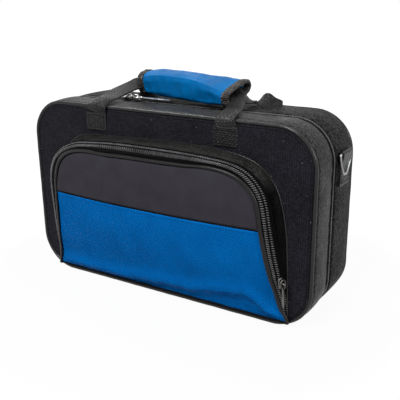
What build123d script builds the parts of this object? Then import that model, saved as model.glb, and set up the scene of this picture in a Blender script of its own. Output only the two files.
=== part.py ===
from build123d import *
import os

# Clarinet case: a soft zip case that stands on one long edge, with a front pocket and a wrapped carry handle.
# Millimetres. +X to the right, +Y to the back, +Z up. The pocket faces -Y.
# Origin: on the surface the case stands on, at mid width and at the middle of the body's depth.

# ---- Body ----
case_width = 365.0
case_height = 212.5
case_depth = 98.8
corner_radius = 44.0
zip_y = -5.85  # plane of the main zip, where lid and rear half meet
seam_gap = 0.3  # between lid and rear half
front_y = -case_depth / 2
rear_y = case_depth / 2

cover = 1.5  # woven cover
board = 5.0  # foam board behind the cover
lining = 1.3
fit = 0.2  # between a shell and what is glued inside it
piping = 4.0
piping_proud = 0.6  # how far the piping stands out of the front and back panels
edge_round = 1.6

# ---- Main zip ----
coil_width = 1.5  # each half of the coil
zip_half = 5.0  # from the zip plane to the covers
coil_sink = 0.4  # below the covers' outer face
tape_sink = 1.0
tape = 1.0
zip_end_x = 128.0  # the zip turns both lower corners and ends here
hinge_end_gap = 2.0  # between the hinge cloth and the zip's ends
hinge_cloth = 1.4
hinge_sink = 0.2

# ---- Instrument tray: (name, x from, x to, z from, z to, depth, corner radius) ----
tray_behind_zip = 1.85
tray_front_y = zip_y + tray_behind_zip
tray_depth = rear_y - cover - board - fit - tray_front_y
recesses = (
    ("lower_joint", -170, 112, 142, 198, 38, 24),
    ("barrel", 122, 158, 130, 190, 36, 12),
    ("upper_joint", -170, 82, 82, 132, 34, 20),
    ("bell", 90, 172, 14, 120, 43, 30),
    ("accessories", -170, -20, 13, 73, 40, 26),
    ("mouthpiece", -10, 82, 16, 70, 34, 20),
)

# ---- Front pocket ----
pocket_half_width = 156.5  # at the front panel
pocket_below_top = 31.5
pocket_top = case_height - pocket_below_top
pocket_bottom = 6.0
pocket_corner = 14.0  # rounding of its lower corners
pocket_reach = 36.0  # depth over which the pocket's outline draws in
side_start_z = 60.0  # the sides are straight up to here
side_draw = 1.7  # how far they have drawn in by then
shoulder_drop = 39.0  # below the top, where the side's curve turns most
shoulder_draw = 4.5
crest_draw = 24.5  # from the side, where the curve meets the top
top_start = 76.5  # from the side, where the top is straight
side_lean = 0.31  # how much the sides draw in per millimetre of depth, at the foot of the curve
shoulder_lean = 0.40
crest_lean = -0.15
top_lean = 0.18
top_share = 0.65  # the strips are narrower along the top than along the sides
panel_seam_z = 109.8  # smooth upper panel above, woven lower panel below
surface_half_width = 165.0
# Sections of the pocket's front: (height, depth at mid width, how much less at the half width above)
pocket_sections = (
    (6, 3.4, 0.2),
    (28, 10.0, 5.0),
    (55, 19.0, 8.0),
    (84, 26.0, 10.0),
    (111, 29.5, 10.0),
    (143, 31.5, 10.0),
    (pocket_top + 9, 32.5, 10.0),
)
gusset = 1.5
pocket_coil = 1.6
coil_gap = 0.3
tape_edge = 10.5  # from the pocket's edge to the piping
panel_edge = 14.5  # from the pocket's edge to the panels
panel = 2.0
panel_lining = 0.8
tape_set_back = 1.2  # of the tape behind the panels' face
gusset_tape = 4.5
welt_width = 2.5
welt_height = 1.8

# ---- Straps ----
strap_width = 28.0
strap = 1.5
strap_x = 83.5
strap_below_top = 8.5  # where the sewn straps end and the loops begin
strap_top = case_height - strap_below_top
front_anchor_bottom = pocket_top + welt_width + 0.7
rear_anchor_length = 84.0
strap_rise = 4.5  # above the case, where a loop has passed the piping
strap_reach = 21.0  # from the panel, where it starts to turn
strap_crest = 13.0  # above the case there

# ---- Carry handle: a wrap around both strap loops ----
grip_half_length = 63.5
grip_y = 9.0
grip_above_case = 20.0
grip_z = case_height + grip_above_case
grip_width = 48.0
grip_height = 27.0
grip_corner = 12.0
wrap = 3.0
binding_width = 3.5
binding_proud = 0.5
sleeve_end = grip_half_length - binding_width
split_gap = 0.4
front_split_drop = 8.5  # below the grip's middle
front_split_z = grip_z - front_split_drop
pad_drop = 3.0
pad_top = grip_z - pad_drop
rear_run_drop = 1.75
rear_run_z = grip_z - rear_run_drop  # mid plane of the rear loop inside the wrap
front_run_rise = 0.75
front_run_z = grip_z + front_run_rise  # mid plane of the front loop inside the wrap
run_offset = 3.0
run_y = grip_y - run_offset
patch_width = 3.2
hook_height = 2.1
loop_height = 2.0

# ---- D-rings and their tabs ----
ring_y = 22.0
ring_below_top = 36.5
ring_z = case_height - ring_below_top
ring_stand_off = 5.1  # from the side cover to the ring's bar
ring_wire = 3.6
ring_width = 38.0
ring_drop = 24.5
tab_width = 26.0
tab_length = 34.0
tab_bottom = ring_z - tab_length
tab_taper = 13.0  # below the bar, where the tab's two layers meet
tab_cloth = 1.4

# ---- Sliders and pulls ----
slider_length = 12.0
slider_width = 8.4
slider_height = 3.0
slider_lift = 0.4
left_slider_x = -72.0
right_slider_x = -58.0
left_pull_length = 30.0
left_pull_heading = (-0.43, -0.90)  # towards the front left, over the lid
right_pull_length = 46.0
right_pull_heading = (1.0, 0.0)  # along the zip, under the grip
pull_width = 6.0
pull = 1.2
pull_gap = 0.3  # between a slider and its pull
eye_radius = 4.4
pocket_slider_z = 55.0
pocket_slider_out = 4.4  # in from the pocket's half width
pocket_slider_depth = 10.8
pocket_slider_rise = (-0.12, -0.19, 0.974)  # direction of the pocket zip there
pocket_pull_length = 27.0


def written(piece, label):
    """Name a finished piece and write it."""
    piece.part.label = label
    export_step(piece.part, f"parts/{label}.step")


def case_outline(inset, mode=Mode.ADD):
    """The case's rounded front view, drawn in by inset."""
    with Locations((0, case_height / 2)):
        RectangleRounded(
            case_width - 2 * inset,
            case_height - 2 * inset,
            corner_radius - inset,
            mode=mode,
        )


def slab(y_from, y_to, inset, mode=Mode.ADD):
    """A solid plate of the case's outline between two depths."""
    with BuildSketch(Plane.XZ.offset(-y_to)) as profile:
        case_outline(inset)
    extrude(profile.sketch, amount=y_to - y_from, mode=mode)


def band(y_from, y_to, outer, inner):
    """A hoop that follows the case's outline between two depths."""
    with BuildSketch(Plane.XZ.offset(-y_to)) as profile:
        case_outline(outer)
        case_outline(inner, mode=Mode.SUBTRACT)
    extrude(profile.sketch, amount=y_to - y_from)


def cut_hinge_side():
    """Leave the hoop open along the bottom, where the halves hinge."""
    with Locations((0, 0, 0)):
        Box(2 * zip_end_x, 3 * case_depth, 2 * board, mode=Mode.SUBTRACT)


def half_shell(seam_y, edge_y, panel_y):
    """Foam board of one half: an open box. Its panel is at panel_y and its mouth at seam_y."""
    outward = 1 if panel_y > seam_y else -1
    cover_y = zip_y + outward * zip_half
    low, high = sorted((cover_y, edge_y))
    slab(low, high, cover)
    low, high = sorted((edge_y, panel_y - outward * cover))
    slab(low, high, piping)
    low, high = sorted((seam_y, cover_y))
    slab(low, high, tape_sink + tape)
    low, high = sorted((seam_y - outward, panel_y - outward * (cover + board)))
    slab(low, high, cover + board, mode=Mode.SUBTRACT)


def edge_piping(edge_y, face_y):
    """Round cord sewn in where a panel meets the band."""
    low, high = sorted((edge_y, face_y))
    band(low, high, 0, piping)
    proud = Axis.Y if face_y > edge_y else -Axis.Y
    fillet(faces().sort_by(proud)[-1].edges(), edge_round)


def pocket_outline(depth, inset, closed=True, mode=Mode.ADD):
    """Front view of the pocket at a depth in front of the panel. If not closed, its sides run on downwards."""
    half = pocket_half_width - inset
    foot = half - side_lean * depth
    top = pocket_top - top_lean * depth - top_share * inset
    corner_z = pocket_bottom + pocket_corner
    side = (foot - side_draw, side_start_z)
    shoulder = (half - shoulder_draw - shoulder_lean * depth, top - shoulder_drop)
    crest = (half - crest_draw - crest_lean * depth, top - 1)
    summit = (half - top_start, top)
    with BuildSketch(Plane.XY, mode=Mode.PRIVATE) as outline:
        with BuildLine():
            if closed:
                Line((0, pocket_bottom), (foot - pocket_corner, pocket_bottom))
                Bezier((foot - pocket_corner, pocket_bottom), (foot, pocket_bottom), (foot, corner_z))
            else:
                Polyline((0, -pocket_top), (foot, -pocket_top), (foot, corner_z))
            Line((foot, corner_z), side)
            Bezier(side, shoulder, crest, summit)
            Line(summit, (0, top))
            mirror(about=Plane.YZ)
        make_face()
    add(outline.sketch_local, mode=mode)


def pocket_prism(inset, closed=True):
    """The pocket's space, which draws in towards the front."""
    with BuildPart(mode=Mode.PRIVATE) as prism:
        with BuildSketch(Plane.XZ.offset(-front_y)):
            pocket_outline(0, inset, closed)
        with BuildSketch(Plane.XZ.offset(pocket_reach - front_y)):
            pocket_outline(pocket_reach, inset, closed)
        loft()
    return prism.part


def pocket_layer(front, back):
    """Everything between two depths behind the pocket's crowned front. With back as None, as far as the panel."""
    with BuildPart(mode=Mode.PRIVATE) as layer:
        for height, depth, crown in pocket_sections:
            middle = front_y - depth
            side = middle + crown
            reach = surface_half_width
            with BuildSketch(Plane.XY.offset(height)):
                with BuildLine():
                    ThreePointArc((-reach, side + front), (0, middle + front), (reach, side + front))
                    if back is None:
                        Polyline((reach, side + front), (reach, 0), (-reach, 0), (-reach, side + front))
                    else:
                        Line((reach, side + front), (reach, side + back))
                        ThreePointArc((reach, side + back), (0, middle + back), (-reach, side + back))
                        Line((-reach, side + back), (-reach, side + front))
                make_face()
        loft()
    return layer.part


def pocket_band(outer, inner, front, back):
    """A strip along the pocket's sides and top, open at the bottom."""
    add(pocket_prism(outer))
    add(pocket_prism(inner, closed=False), mode=Mode.SUBTRACT)
    add(pocket_layer(front, back), mode=Mode.INTERSECT)


def grip_outline(grow, mode=Mode.ADD):
    """Cross-section of the grip, grown by an amount."""
    with Locations((grip_y, grip_z)):
        RectangleRounded(
            grip_width + 2 * grow,
            grip_height + 2 * grow,
            grip_corner + grow,
            mode=mode,
        )


def grip_sleeve(x_from, x_to, grow):
    """A length of the grip's wrap."""
    with BuildSketch(Plane.YZ.offset(x_from)) as profile:
        grip_outline(grow)
        grip_outline(-wrap, mode=Mode.SUBTRACT)
    extrude(profile.sketch, amount=x_to - x_from)


def keep_flap_side(mode):
    """The part of the sleeve that folds open: its top and its front."""
    tall = grip_height
    with BuildSketch(Plane.YZ.offset(-2 * grip_half_length)) as profile:
        with BuildLine():
            Polyline(
                (grip_y - tall * 2, front_split_z),
                (grip_y, front_split_z),
                (grip_y, grip_z),
                (grip_y + tall * 2, grip_z),
                (grip_y + tall * 2, grip_z + tall),
                (grip_y - tall * 2, grip_z + tall),
                close=True,
            )
        make_face()
    extrude(profile.sketch, amount=4 * grip_half_length, mode=mode)


def cut_split_gap():
    """Clearance on the fixed side of the flap's edges."""
    with Locations((0, grip_y + grip_width / 2, grip_z)):
        Box(4 * grip_half_length, grip_width, 2 * split_gap, mode=Mode.SUBTRACT)
    with Locations((0, grip_y - grip_width / 2, front_split_z)):
        Box(4 * grip_half_length, grip_width, 2 * split_gap, mode=Mode.SUBTRACT)


def strap_leg(side, facing, run_z):
    """One leg of a strap loop: up a panel, over the edge and round into the grip's end."""
    face = front_y if facing < 0 else rear_y
    start_y = face + facing * (piping_proud + strap)
    turn = Vector(0, -facing, 0)
    over_y = start_y - facing * piping_proud
    turn_y = start_y - facing * strap_reach
    stations = (
        ((strap_x, start_y, strap_top + 0.5), Vector(0, 0, 1), strap_width, strap),
        ((strap_x - 0.5, over_y, case_height + strap_rise), Vector(0, 0, 1) + turn * 0.5, strap_width - 1, strap),
        ((strap_x - 5, turn_y, case_height + strap_crest), turn + Vector(-0.35, 0, 0.35), strap_width - 4, strap),
        ((grip_half_length + 6, run_y + facing * 4, run_z), Vector(-1, 0, 0), strap_width - 2, strap),
        ((sleeve_end, run_y, run_z), Vector(-1, 0, 0), strap_width, strap),
    )
    sections = []
    for place, heading, width, thickness in stations:
        flat_side = heading.cross(Vector(0, 0, 1))
        if flat_side.length < 0.2:
            flat_side = Vector(-facing, 0, 0)
        across = Vector(side * flat_side.X, flat_side.Y, flat_side.Z)
        ahead = Vector(side * heading.X, heading.Y, heading.Z)
        centre = Vector(side * place[0], place[1], place[2])
        with BuildSketch(Plane(origin=centre, x_dir=across, z_dir=ahead)) as section:
            Rectangle(width, thickness)
        sections.append(section.sketch)
    loft(sections, ruled=True)


def strap_loop(facing, run_z):
    """Both legs and the run through the grip."""
    for side in (-1, 1):
        strap_leg(side, facing, run_z)
    with Locations((0, run_y, run_z)):
        Box(2 * sleeve_end, strap_width, strap)


def slider_body(seat):
    """A slider's plate on its seat, narrowed at the tail."""
    with BuildSketch(seat) as plate:
        with BuildLine():
            Polyline(
                (-slider_length / 2, slider_width / 3),
                (0, slider_width / 2),
                (slider_length / 2, slider_width / 2),
                (slider_length / 2, -slider_width / 2),
                (0, -slider_width / 2),
                (-slider_length / 2, -slider_width / 3),
                close=True,
            )
        make_face()
    extrude(plate.sketch, amount=slider_height)
    chamfer(faces().sort_by(Axis(seat.origin, seat.z_dir))[-1].edges(), 0.6)


def pull_tab(seat, length):
    """A flat pull on its seat, drawn from its eye: a ring, a slim neck and a rounded tab."""
    with BuildSketch(seat) as tab:
        Circle(eye_radius)
        with Locations((length / 2, 0)):
            Rectangle(length - eye_radius, pull_width * 0.6)
        with Locations((length * 0.75, 0)):
            RectangleRounded(length / 2, pull_width, pull_width * 0.35)
        Circle(eye_radius - 1.6, mode=Mode.SUBTRACT)
    extrude(tab.sketch, amount=pull)


os.makedirs("parts", exist_ok=True)

# ---- Rear half ----
rear_seam_y = zip_y + seam_gap / 2
rear_cover_y = zip_y + zip_half
rear_edge_y = rear_y - piping

with BuildPart() as rear_board:
    half_shell(rear_seam_y, rear_edge_y, rear_y)
written(rear_board, "rear_board")

with BuildPart() as rear_panel_cover:
    slab(rear_y - cover, rear_y, piping)
written(rear_panel_cover, "rear_panel_cover")

with BuildPart() as rear_band_cover:
    band(rear_cover_y, rear_edge_y, 0, cover)
written(rear_band_cover, "rear_band_cover")

with BuildPart() as rear_piping:
    edge_piping(rear_edge_y, rear_y + piping_proud)
written(rear_piping, "rear_piping")

with BuildPart() as rear_zip_coil:
    band(rear_seam_y, rear_seam_y + coil_width, coil_sink, tape_sink + tape)
    cut_hinge_side()
written(rear_zip_coil, "rear_zip_coil")

with BuildPart() as rear_zip_tape:
    band(rear_seam_y + coil_width, rear_cover_y, tape_sink, tape_sink + tape)
    cut_hinge_side()
written(rear_zip_tape, "rear_zip_tape")

with BuildPart() as hinge_strip:
    with Locations((0, zip_y, hinge_sink + hinge_cloth / 2)):
        Box(2 * (zip_end_x - hinge_end_gap), 2 * (zip_half - seam_gap), hinge_cloth)
written(hinge_strip, "hinge_strip")

with BuildPart() as instrument_tray:
    slab(tray_front_y, tray_front_y + tray_depth, cover + board + fit)
    for name, x_from, x_to, z_from, z_to, depth, radius in recesses:
        with BuildSketch(Plane.XZ.offset(-tray_front_y - depth)):
            with Locations(((x_from + x_to) / 2, (z_from + z_to) / 2)):
                RectangleRounded(x_to - x_from, z_to - z_from, radius)
        extrude(amount=depth + 1, mode=Mode.SUBTRACT)
written(instrument_tray, "instrument_tray")

with BuildPart() as rear_strap_anchors:
    for side in (-1, 1):
        with Locations((side * strap_x, rear_y + strap / 2, strap_top - rear_anchor_length / 2)):
            Box(strap_width, strap, rear_anchor_length)
written(rear_strap_anchors, "rear_strap_anchors")

# ---- Lid ----
lid_seam_y = zip_y - seam_gap / 2
lid_cover_y = zip_y - zip_half
lid_edge_y = front_y + piping

with BuildPart() as lid_board:
    half_shell(lid_seam_y, lid_edge_y, front_y)
written(lid_board, "lid_board")

with BuildPart() as lid_panel_cover:
    slab(front_y, front_y + cover, piping)
written(lid_panel_cover, "lid_panel_cover")

with BuildPart() as lid_band_cover:
    band(lid_edge_y, lid_cover_y, 0, cover)
written(lid_band_cover, "lid_band_cover")

with BuildPart() as front_piping:
    edge_piping(lid_edge_y, front_y - piping_proud)
written(front_piping, "front_piping")

with BuildPart() as lid_zip_coil:
    band(lid_seam_y - coil_width, lid_seam_y, coil_sink, tape_sink + tape)
    cut_hinge_side()
written(lid_zip_coil, "lid_zip_coil")

with BuildPart() as lid_zip_tape:
    band(lid_cover_y, lid_seam_y - coil_width, tape_sink, tape_sink + tape)
    cut_hinge_side()
written(lid_zip_tape, "lid_zip_tape")

with BuildPart() as lid_lining:
    lining_y = front_y + cover + board + fit
    slab(lining_y, lid_seam_y, cover + board + fit)
    slab(lining_y + lining, lid_seam_y + 1, cover + board + fit + lining, mode=Mode.SUBTRACT)
written(lid_lining, "lid_lining")

with BuildPart() as front_strap_anchors:
    for side in (-1, 1):
        with Locations((side * strap_x, front_y - strap / 2, (front_anchor_bottom + strap_top) / 2)):
            Box(strap_width, strap, strap_top - front_anchor_bottom)
written(front_strap_anchors, "front_strap_anchors")

# ---- Pocket: what stays on the lid ----
with BuildPart() as pocket_gusset:
    pocket_band(0, gusset, tape_set_back + pocket_coil + gusset_tape, None)
written(pocket_gusset, "pocket_gusset")

with BuildPart() as pocket_gusset_tape:
    pocket_band(0, gusset, tape_set_back + pocket_coil, tape_set_back + pocket_coil + gusset_tape)
written(pocket_gusset_tape, "pocket_gusset_tape")

with BuildPart() as pocket_coil_back:
    pocket_band(0, pocket_coil, tape_set_back, tape_set_back + pocket_coil)
written(pocket_coil_back, "pocket_coil_back")

with BuildPart() as pocket_gusset_welt:
    with BuildSketch(Plane.XZ.offset(-front_y)):
        pocket_outline(0, -welt_width)
        pocket_outline(0, 0, closed=False, mode=Mode.SUBTRACT)
    extrude(amount=welt_height)
written(pocket_gusset_welt, "pocket_gusset_welt")

# ---- Pocket: the flap ----
flap_edge = pocket_coil + coil_gap

with BuildPart() as pocket_coil_front:
    pocket_band(flap_edge, flap_edge + pocket_coil, tape_set_back, tape_set_back + pocket_coil)
written(pocket_coil_front, "pocket_coil_front")

with BuildPart() as pocket_flap_tape:
    pocket_band(flap_edge + pocket_coil, tape_edge, tape_set_back, tape_set_back + tape)
written(pocket_flap_tape, "pocket_flap_tape")

with BuildPart() as pocket_piping:
    pocket_band(tape_edge, panel_edge, -tape_set_back, panel + panel_lining)
written(pocket_piping, "pocket_piping")

with BuildPart() as pocket_upper_panel:
    add(pocket_prism(panel_edge))
    with Locations((0, front_y, panel_seam_z - case_height / 2)):
        Box(case_width, case_depth, case_height, mode=Mode.SUBTRACT)
    add(pocket_layer(0, panel), mode=Mode.INTERSECT)
written(pocket_upper_panel, "pocket_upper_panel")

with BuildPart() as pocket_lower_panel:
    add(pocket_prism(panel_edge))
    with Locations((0, front_y, panel_seam_z + case_height / 2)):
        Box(case_width, case_depth, case_height, mode=Mode.SUBTRACT)
    add(pocket_layer(0, panel), mode=Mode.INTERSECT)
written(pocket_lower_panel, "pocket_lower_panel")

with BuildPart() as pocket_flap_lining:
    add(pocket_prism(panel_edge))
    add(pocket_layer(panel, panel + panel_lining), mode=Mode.INTERSECT)
written(pocket_flap_lining, "pocket_flap_lining")

# ---- Strap loops and carry handle ----
with BuildPart() as rear_loop_strap:
    strap_loop(1, rear_run_z)
written(rear_loop_strap, "rear_loop_strap")

with BuildPart() as front_loop_strap:
    strap_loop(-1, front_run_z)
written(front_loop_strap, "front_loop_strap")

with BuildPart() as handle_wrap:
    grip_sleeve(-sleeve_end, sleeve_end, 0)
    keep_flap_side(Mode.SUBTRACT)
    cut_split_gap()
written(handle_wrap, "handle_wrap")

with BuildPart() as wrap_flap:
    grip_sleeve(-sleeve_end, sleeve_end, 0)
    keep_flap_side(Mode.INTERSECT)
written(wrap_flap, "wrap_flap")

with BuildPart() as wrap_bindings:
    grip_sleeve(-grip_half_length, -sleeve_end, binding_proud)
    grip_sleeve(sleeve_end, grip_half_length, binding_proud)
    keep_flap_side(Mode.SUBTRACT)
    cut_split_gap()
written(wrap_bindings, "wrap_bindings")

with BuildPart() as flap_bindings:
    grip_sleeve(-grip_half_length, -sleeve_end, binding_proud)
    grip_sleeve(sleeve_end, grip_half_length, binding_proud)
    keep_flap_side(Mode.INTERSECT)
written(flap_bindings, "flap_bindings")

inner_width = grip_width - 2 * wrap
inner_bottom = grip_z - grip_height / 2 + wrap
inner_top = grip_z + grip_height / 2 - wrap
pad_width = inner_width - 4
pad_bottom = inner_bottom + fit

with BuildPart() as handle_pad:
    with Locations((0, grip_y, (pad_bottom + pad_top) / 2)):
        Box(2 * sleeve_end, pad_width, pad_top - pad_bottom)
    fillet(edges().filter_by(Axis.X).group_by(Axis.Z)[0], 7)
written(handle_pad, "handle_pad")

with BuildPart() as flap_pad:
    flap_pad_bottom = front_run_z + strap
    flap_pad_top = inner_top - fit
    with Locations((0, grip_y, (flap_pad_bottom + flap_pad_top) / 2)):
        Box(2 * sleeve_end, pad_width - 2, flap_pad_top - flap_pad_bottom)
    fillet(edges().filter_by(Axis.X).group_by(Axis.Z)[-1], 6)
written(flap_pad, "flap_pad")

patch_length = 1.6 * grip_half_length
inner_front_y = grip_y - inner_width / 2
hook_top = pad_top + hook_height
loop_bottom = hook_top + fit

with BuildPart() as hook_patch:
    with Locations((0, inner_front_y + fit + patch_width / 2, pad_top + hook_height / 2)):
        Box(patch_length, patch_width, hook_height)
written(hook_patch, "hook_patch")

with BuildPart() as loop_patch:
    with Locations((0, inner_front_y + patch_width / 2, loop_bottom + loop_height / 2)):
        Box(patch_length, patch_width, loop_height)
written(loop_patch, "loop_patch")

# ---- D-rings and tabs, one on each end ----
bar_x = case_width / 2 + ring_stand_off
for side, hand in ((1, "right"), (-1, "left")):
    with BuildPart() as d_ring:
        with BuildLine(Plane.YZ.offset(side * bar_x)) as ring_path:
            bar = Line((ring_y - ring_width / 2, ring_z), (ring_y + ring_width / 2, ring_z))
            bow = ThreePointArc(bar @ 1, (ring_y, ring_z - ring_drop + ring_wire / 2), bar @ 0)
            fillet(ring_path.vertices(), 4)
        with BuildSketch(Plane(origin=(side * bar_x, ring_y, ring_z), z_dir=(0, 1, 0))):
            Circle(ring_wire / 2)
        sweep(path=ring_path.wire())
    written(d_ring, f"d_ring_{hand}")

    with BuildPart() as ring_tab:
        fold = ring_wire / 2 + 0.4
        with BuildSketch(Plane.XZ.offset(-ring_y - tab_width / 2)) as section:
            with Locations((side * bar_x, ring_z)):
                Circle(fold + tab_cloth)
            with BuildLine():
                Polyline(
                    (side * (bar_x - fold - tab_cloth), ring_z),
                    (side * (bar_x + fold + tab_cloth), ring_z),
                    (side * (case_width / 2 + 2 * tab_cloth), ring_z - tab_taper),
                    (side * (case_width / 2 + 2 * tab_cloth), tab_bottom),
                    (side * case_width / 2, tab_bottom),
                    (side * case_width / 2, ring_z - 2),
                    close=True,
                )
            make_face()
            with Locations((side * bar_x, ring_z)):
                Circle(fold, mode=Mode.SUBTRACT)
        extrude(section.sketch, amount=tab_width)
    written(ring_tab, f"ring_tab_{hand}")

# ---- Sliders and pulls of the main zip ----
for hand, place_x, ahead, heading, length in (
    ("left", left_slider_x, -1, left_pull_heading, left_pull_length),
    ("right", right_slider_x, 1, right_pull_heading, right_pull_length),
):
    seat_z = case_height + slider_lift
    with BuildPart() as main_slider:
        slider_body(Plane(origin=(place_x, zip_y, seat_z), x_dir=(ahead, 0, 0)))
    written(main_slider, f"main_slider_{hand}")
    eye_z = seat_z + slider_height + pull_gap
    with BuildPart() as main_pull:
        pull_tab(Plane(origin=(place_x, zip_y, eye_z), x_dir=(*heading, 0)), length)
    written(main_pull, f"main_pull_{hand}")

# ---- Slider and pull of the pocket zip ----
rise = Vector(*pocket_slider_rise).normalized()
outward = Vector(1, -0.35, 0)
outward = (outward - rise * outward.dot(rise)).normalized()
pocket_slider_place = Vector(
    pocket_half_width - pocket_slider_out,
    front_y - pocket_slider_depth,
    pocket_slider_z,
)
pocket_seat = Plane(origin=pocket_slider_place, x_dir=rise, z_dir=outward)
with BuildPart() as pocket_slider:
    slider_body(pocket_seat)
written(pocket_slider, "pocket_slider")

pull_seat = Plane(
    origin=pocket_slider_place + outward * (slider_height + pull_gap),
    x_dir=(0.05, 0, -1),
    z_dir=outward,
)
with BuildPart() as pocket_pull:
    pull_tab(pull_seat, pocket_pull_length)
written(pocket_pull, "pocket_pull")
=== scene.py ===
import math

import bpy
import numpy as np
from mathutils import Matrix, Vector


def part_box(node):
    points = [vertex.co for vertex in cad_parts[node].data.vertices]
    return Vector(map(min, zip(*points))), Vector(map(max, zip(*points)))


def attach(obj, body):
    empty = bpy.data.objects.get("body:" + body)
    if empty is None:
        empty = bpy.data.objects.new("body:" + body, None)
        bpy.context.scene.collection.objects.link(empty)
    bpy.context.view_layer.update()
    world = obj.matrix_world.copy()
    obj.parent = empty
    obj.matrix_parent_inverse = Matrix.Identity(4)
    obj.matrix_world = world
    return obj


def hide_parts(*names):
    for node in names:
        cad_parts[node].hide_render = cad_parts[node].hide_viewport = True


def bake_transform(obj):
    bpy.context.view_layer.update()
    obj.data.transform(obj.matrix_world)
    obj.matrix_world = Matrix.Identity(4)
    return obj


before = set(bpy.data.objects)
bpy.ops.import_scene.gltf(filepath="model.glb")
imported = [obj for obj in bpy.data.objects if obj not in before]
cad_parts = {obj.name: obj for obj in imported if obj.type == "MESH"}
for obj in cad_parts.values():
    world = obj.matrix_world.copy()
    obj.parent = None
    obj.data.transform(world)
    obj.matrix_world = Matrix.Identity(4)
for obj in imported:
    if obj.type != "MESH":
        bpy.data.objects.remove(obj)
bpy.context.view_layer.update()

# A soft clarinet case with a zip lid, a front pocket and a wrapped carry handle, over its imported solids.
# Shapes are written in millimetres, in the frame of the model: +X right, +Y back, +Z up.
MM = 0.001


# ==== Small tools ====
def box_mm(name):
    """A solid's lowest and highest corner, in millimetres."""
    return [np.array(corner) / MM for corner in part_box(name)]


def stack(*values):
    """Points or pairs from coordinates, spread to one shape."""
    return np.stack(np.broadcast_arrays(*values), -1)


def column(start, end, count):
    """Even values, one for each row of a sheet."""
    return np.linspace(start, end, count)[:, None]


def circle(count):
    """Even angles round a circle."""
    return np.linspace(0, 2 * math.pi, count, endpoint=False)


def clamp(value):
    """A value kept from 0 to 1."""
    return np.clip(value, 0, 1)


def bell(value, middle, width):
    """A swell of height one about a middle."""
    return np.exp(-(((value - middle) / width) ** 2))


def squared(wave, power):
    """A sine or cosine made fuller, so that a round section turns into a squarer one."""
    return np.sign(wave) * np.abs(wave) ** power


def unit(vectors):
    """Vectors brought to length one."""
    return vectors / np.maximum(np.linalg.norm(vectors, axis=-1, keepdims=True), 1e-9)


def lengths(points):
    """Running length along a line of points."""
    return np.concatenate([[0], np.cumsum(np.linalg.norm(np.diff(points, axis=0), axis=1))])


def ripple(seed, a, b, size):
    """Uneven swells, from about -1 to 1, over two coordinates and some `size` millimetres long."""
    random = np.random.default_rng(seed)
    total = 0.0
    for _ in range(8):
        angle, phase = random.uniform(0, 2 * math.pi, 2)
        wave = size * random.uniform(0.6, 1.6)
        total = total + np.sin((a * math.cos(angle) + b * math.sin(angle)) * 2 * math.pi / wave + phase)
    return total / 4


def smooth_through(at, xs, ys):
    """A smooth curve through a few points."""
    xs, ys = np.asarray(xs, float), np.asarray(ys, float)
    slopes = np.gradient(ys, xs)
    at = np.clip(at, xs[0], xs[-1])
    k = np.clip(np.searchsorted(xs, at) - 1, 0, len(xs) - 2)
    step = xs[k + 1] - xs[k]
    t = (at - xs[k]) / step
    start = (1 + 2 * t) * (1 - t) ** 2 * ys[k] + t * (1 - t) ** 2 * step * slopes[k]
    end = t * t * (3 - 2 * t) * ys[k + 1] + t * t * (t - 1) * step * slopes[k + 1]
    return start + end


def smooth_rows(at, xs, rows):
    """A smooth curve through rows of values."""
    return np.stack([smooth_through(at, xs, values) for values in np.transpose(rows)], -1)


def rounded_rectangle(at, half_width, half_height, radius):
    """Corner centres and outward directions at lengths along a rounded rectangle, from mid base."""
    flat, tall, arc = half_width - radius, half_height - radius, radius * math.pi / 2
    breaks = np.cumsum([0, flat, arc, 2 * tall, arc, 2 * flat, arc, 2 * tall, arc, flat])
    at = np.mod(at, breaks[-1] + 1e-9)
    angle = np.radians(np.interp(at, breaks, (-90, -90, 0, 0, 90, 90, 180, 180, 270, 270)))
    across = np.interp(at, breaks, flat * np.array((0, 1, 1, 1, 1, -1, -1, -1, -1, 0)))
    up = np.interp(at, breaks, tall * np.array((-1, -1, -1, 1, 1, 1, 1, -1, -1, -1)))
    return stack(across, up), stack(np.cos(angle), np.sin(angle))


# ==== Meshes ====
def mesh_object(name, points, faces, corner_uv=None, sharp=60):
    """An object from millimetre points and faces, with one texture corner in metres for each face corner."""
    mesh = bpy.data.meshes.new(name)
    mesh.from_pydata((np.asarray(points, float).reshape(-1, 3) * MM).tolist(), [], faces)
    layer = mesh.uv_layers.new(name="UVMap")
    if corner_uv is None:
        corner_uv = np.zeros((len(mesh.loops), 2))
    layer.data.foreach_set("uv", np.asarray(corner_uv, np.float32).ravel())
    mesh.polygons.foreach_set("use_smooth", [True] * len(mesh.polygons))
    mesh.set_sharp_from_angle(angle=math.radians(sharp))
    made = bpy.data.objects.new(name, mesh)
    bpy.context.scene.collection.objects.link(made)
    return made


def grid(name, points, around=False, tube=False, capped=False, flat=None, sharp=60):
    """A sheet of quads over rows and columns of points. around joins its last row to its first, tube its last
    column to its first, and capped closes the end rows. flat names the two axes of a plane texture."""
    rows, columns = points.shape[:2]
    i, j = np.indices((rows if around else rows - 1, columns if tube else columns - 1)).reshape(2, -1)
    corners = ((i, j), (i + 1, j), (i + 1, j + 1), (i, j + 1))
    faces = np.stack([(a % rows) * columns + b % columns for a, b in corners], -1).tolist()
    if flat:
        uv = np.stack([points[a % rows, b % columns][:, list(flat)] for a, b in corners], 1)
    else:
        along = lengths(np.concatenate([points, points[:1]])[:, columns // 2])
        across = lengths(np.concatenate([points, points[:, :1]], 1)[rows // 2])
        uv = np.stack([stack(along[a], across[b]) for a, b in corners], 1)
    uv = uv.reshape(-1, 2) * MM
    if capped:
        faces += [list(range(columns)), list(range(rows * columns - 1, (rows - 1) * columns - 1, -1))]
        uv = np.concatenate([uv, np.zeros((2 * columns, 2))])
    return mesh_object(name, points, faces, uv, sharp)


def rod(name, points, sharp=60):
    """A tube with both ends closed."""
    return grid(name, points, tube=True, capped=True, sharp=sharp)


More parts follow.
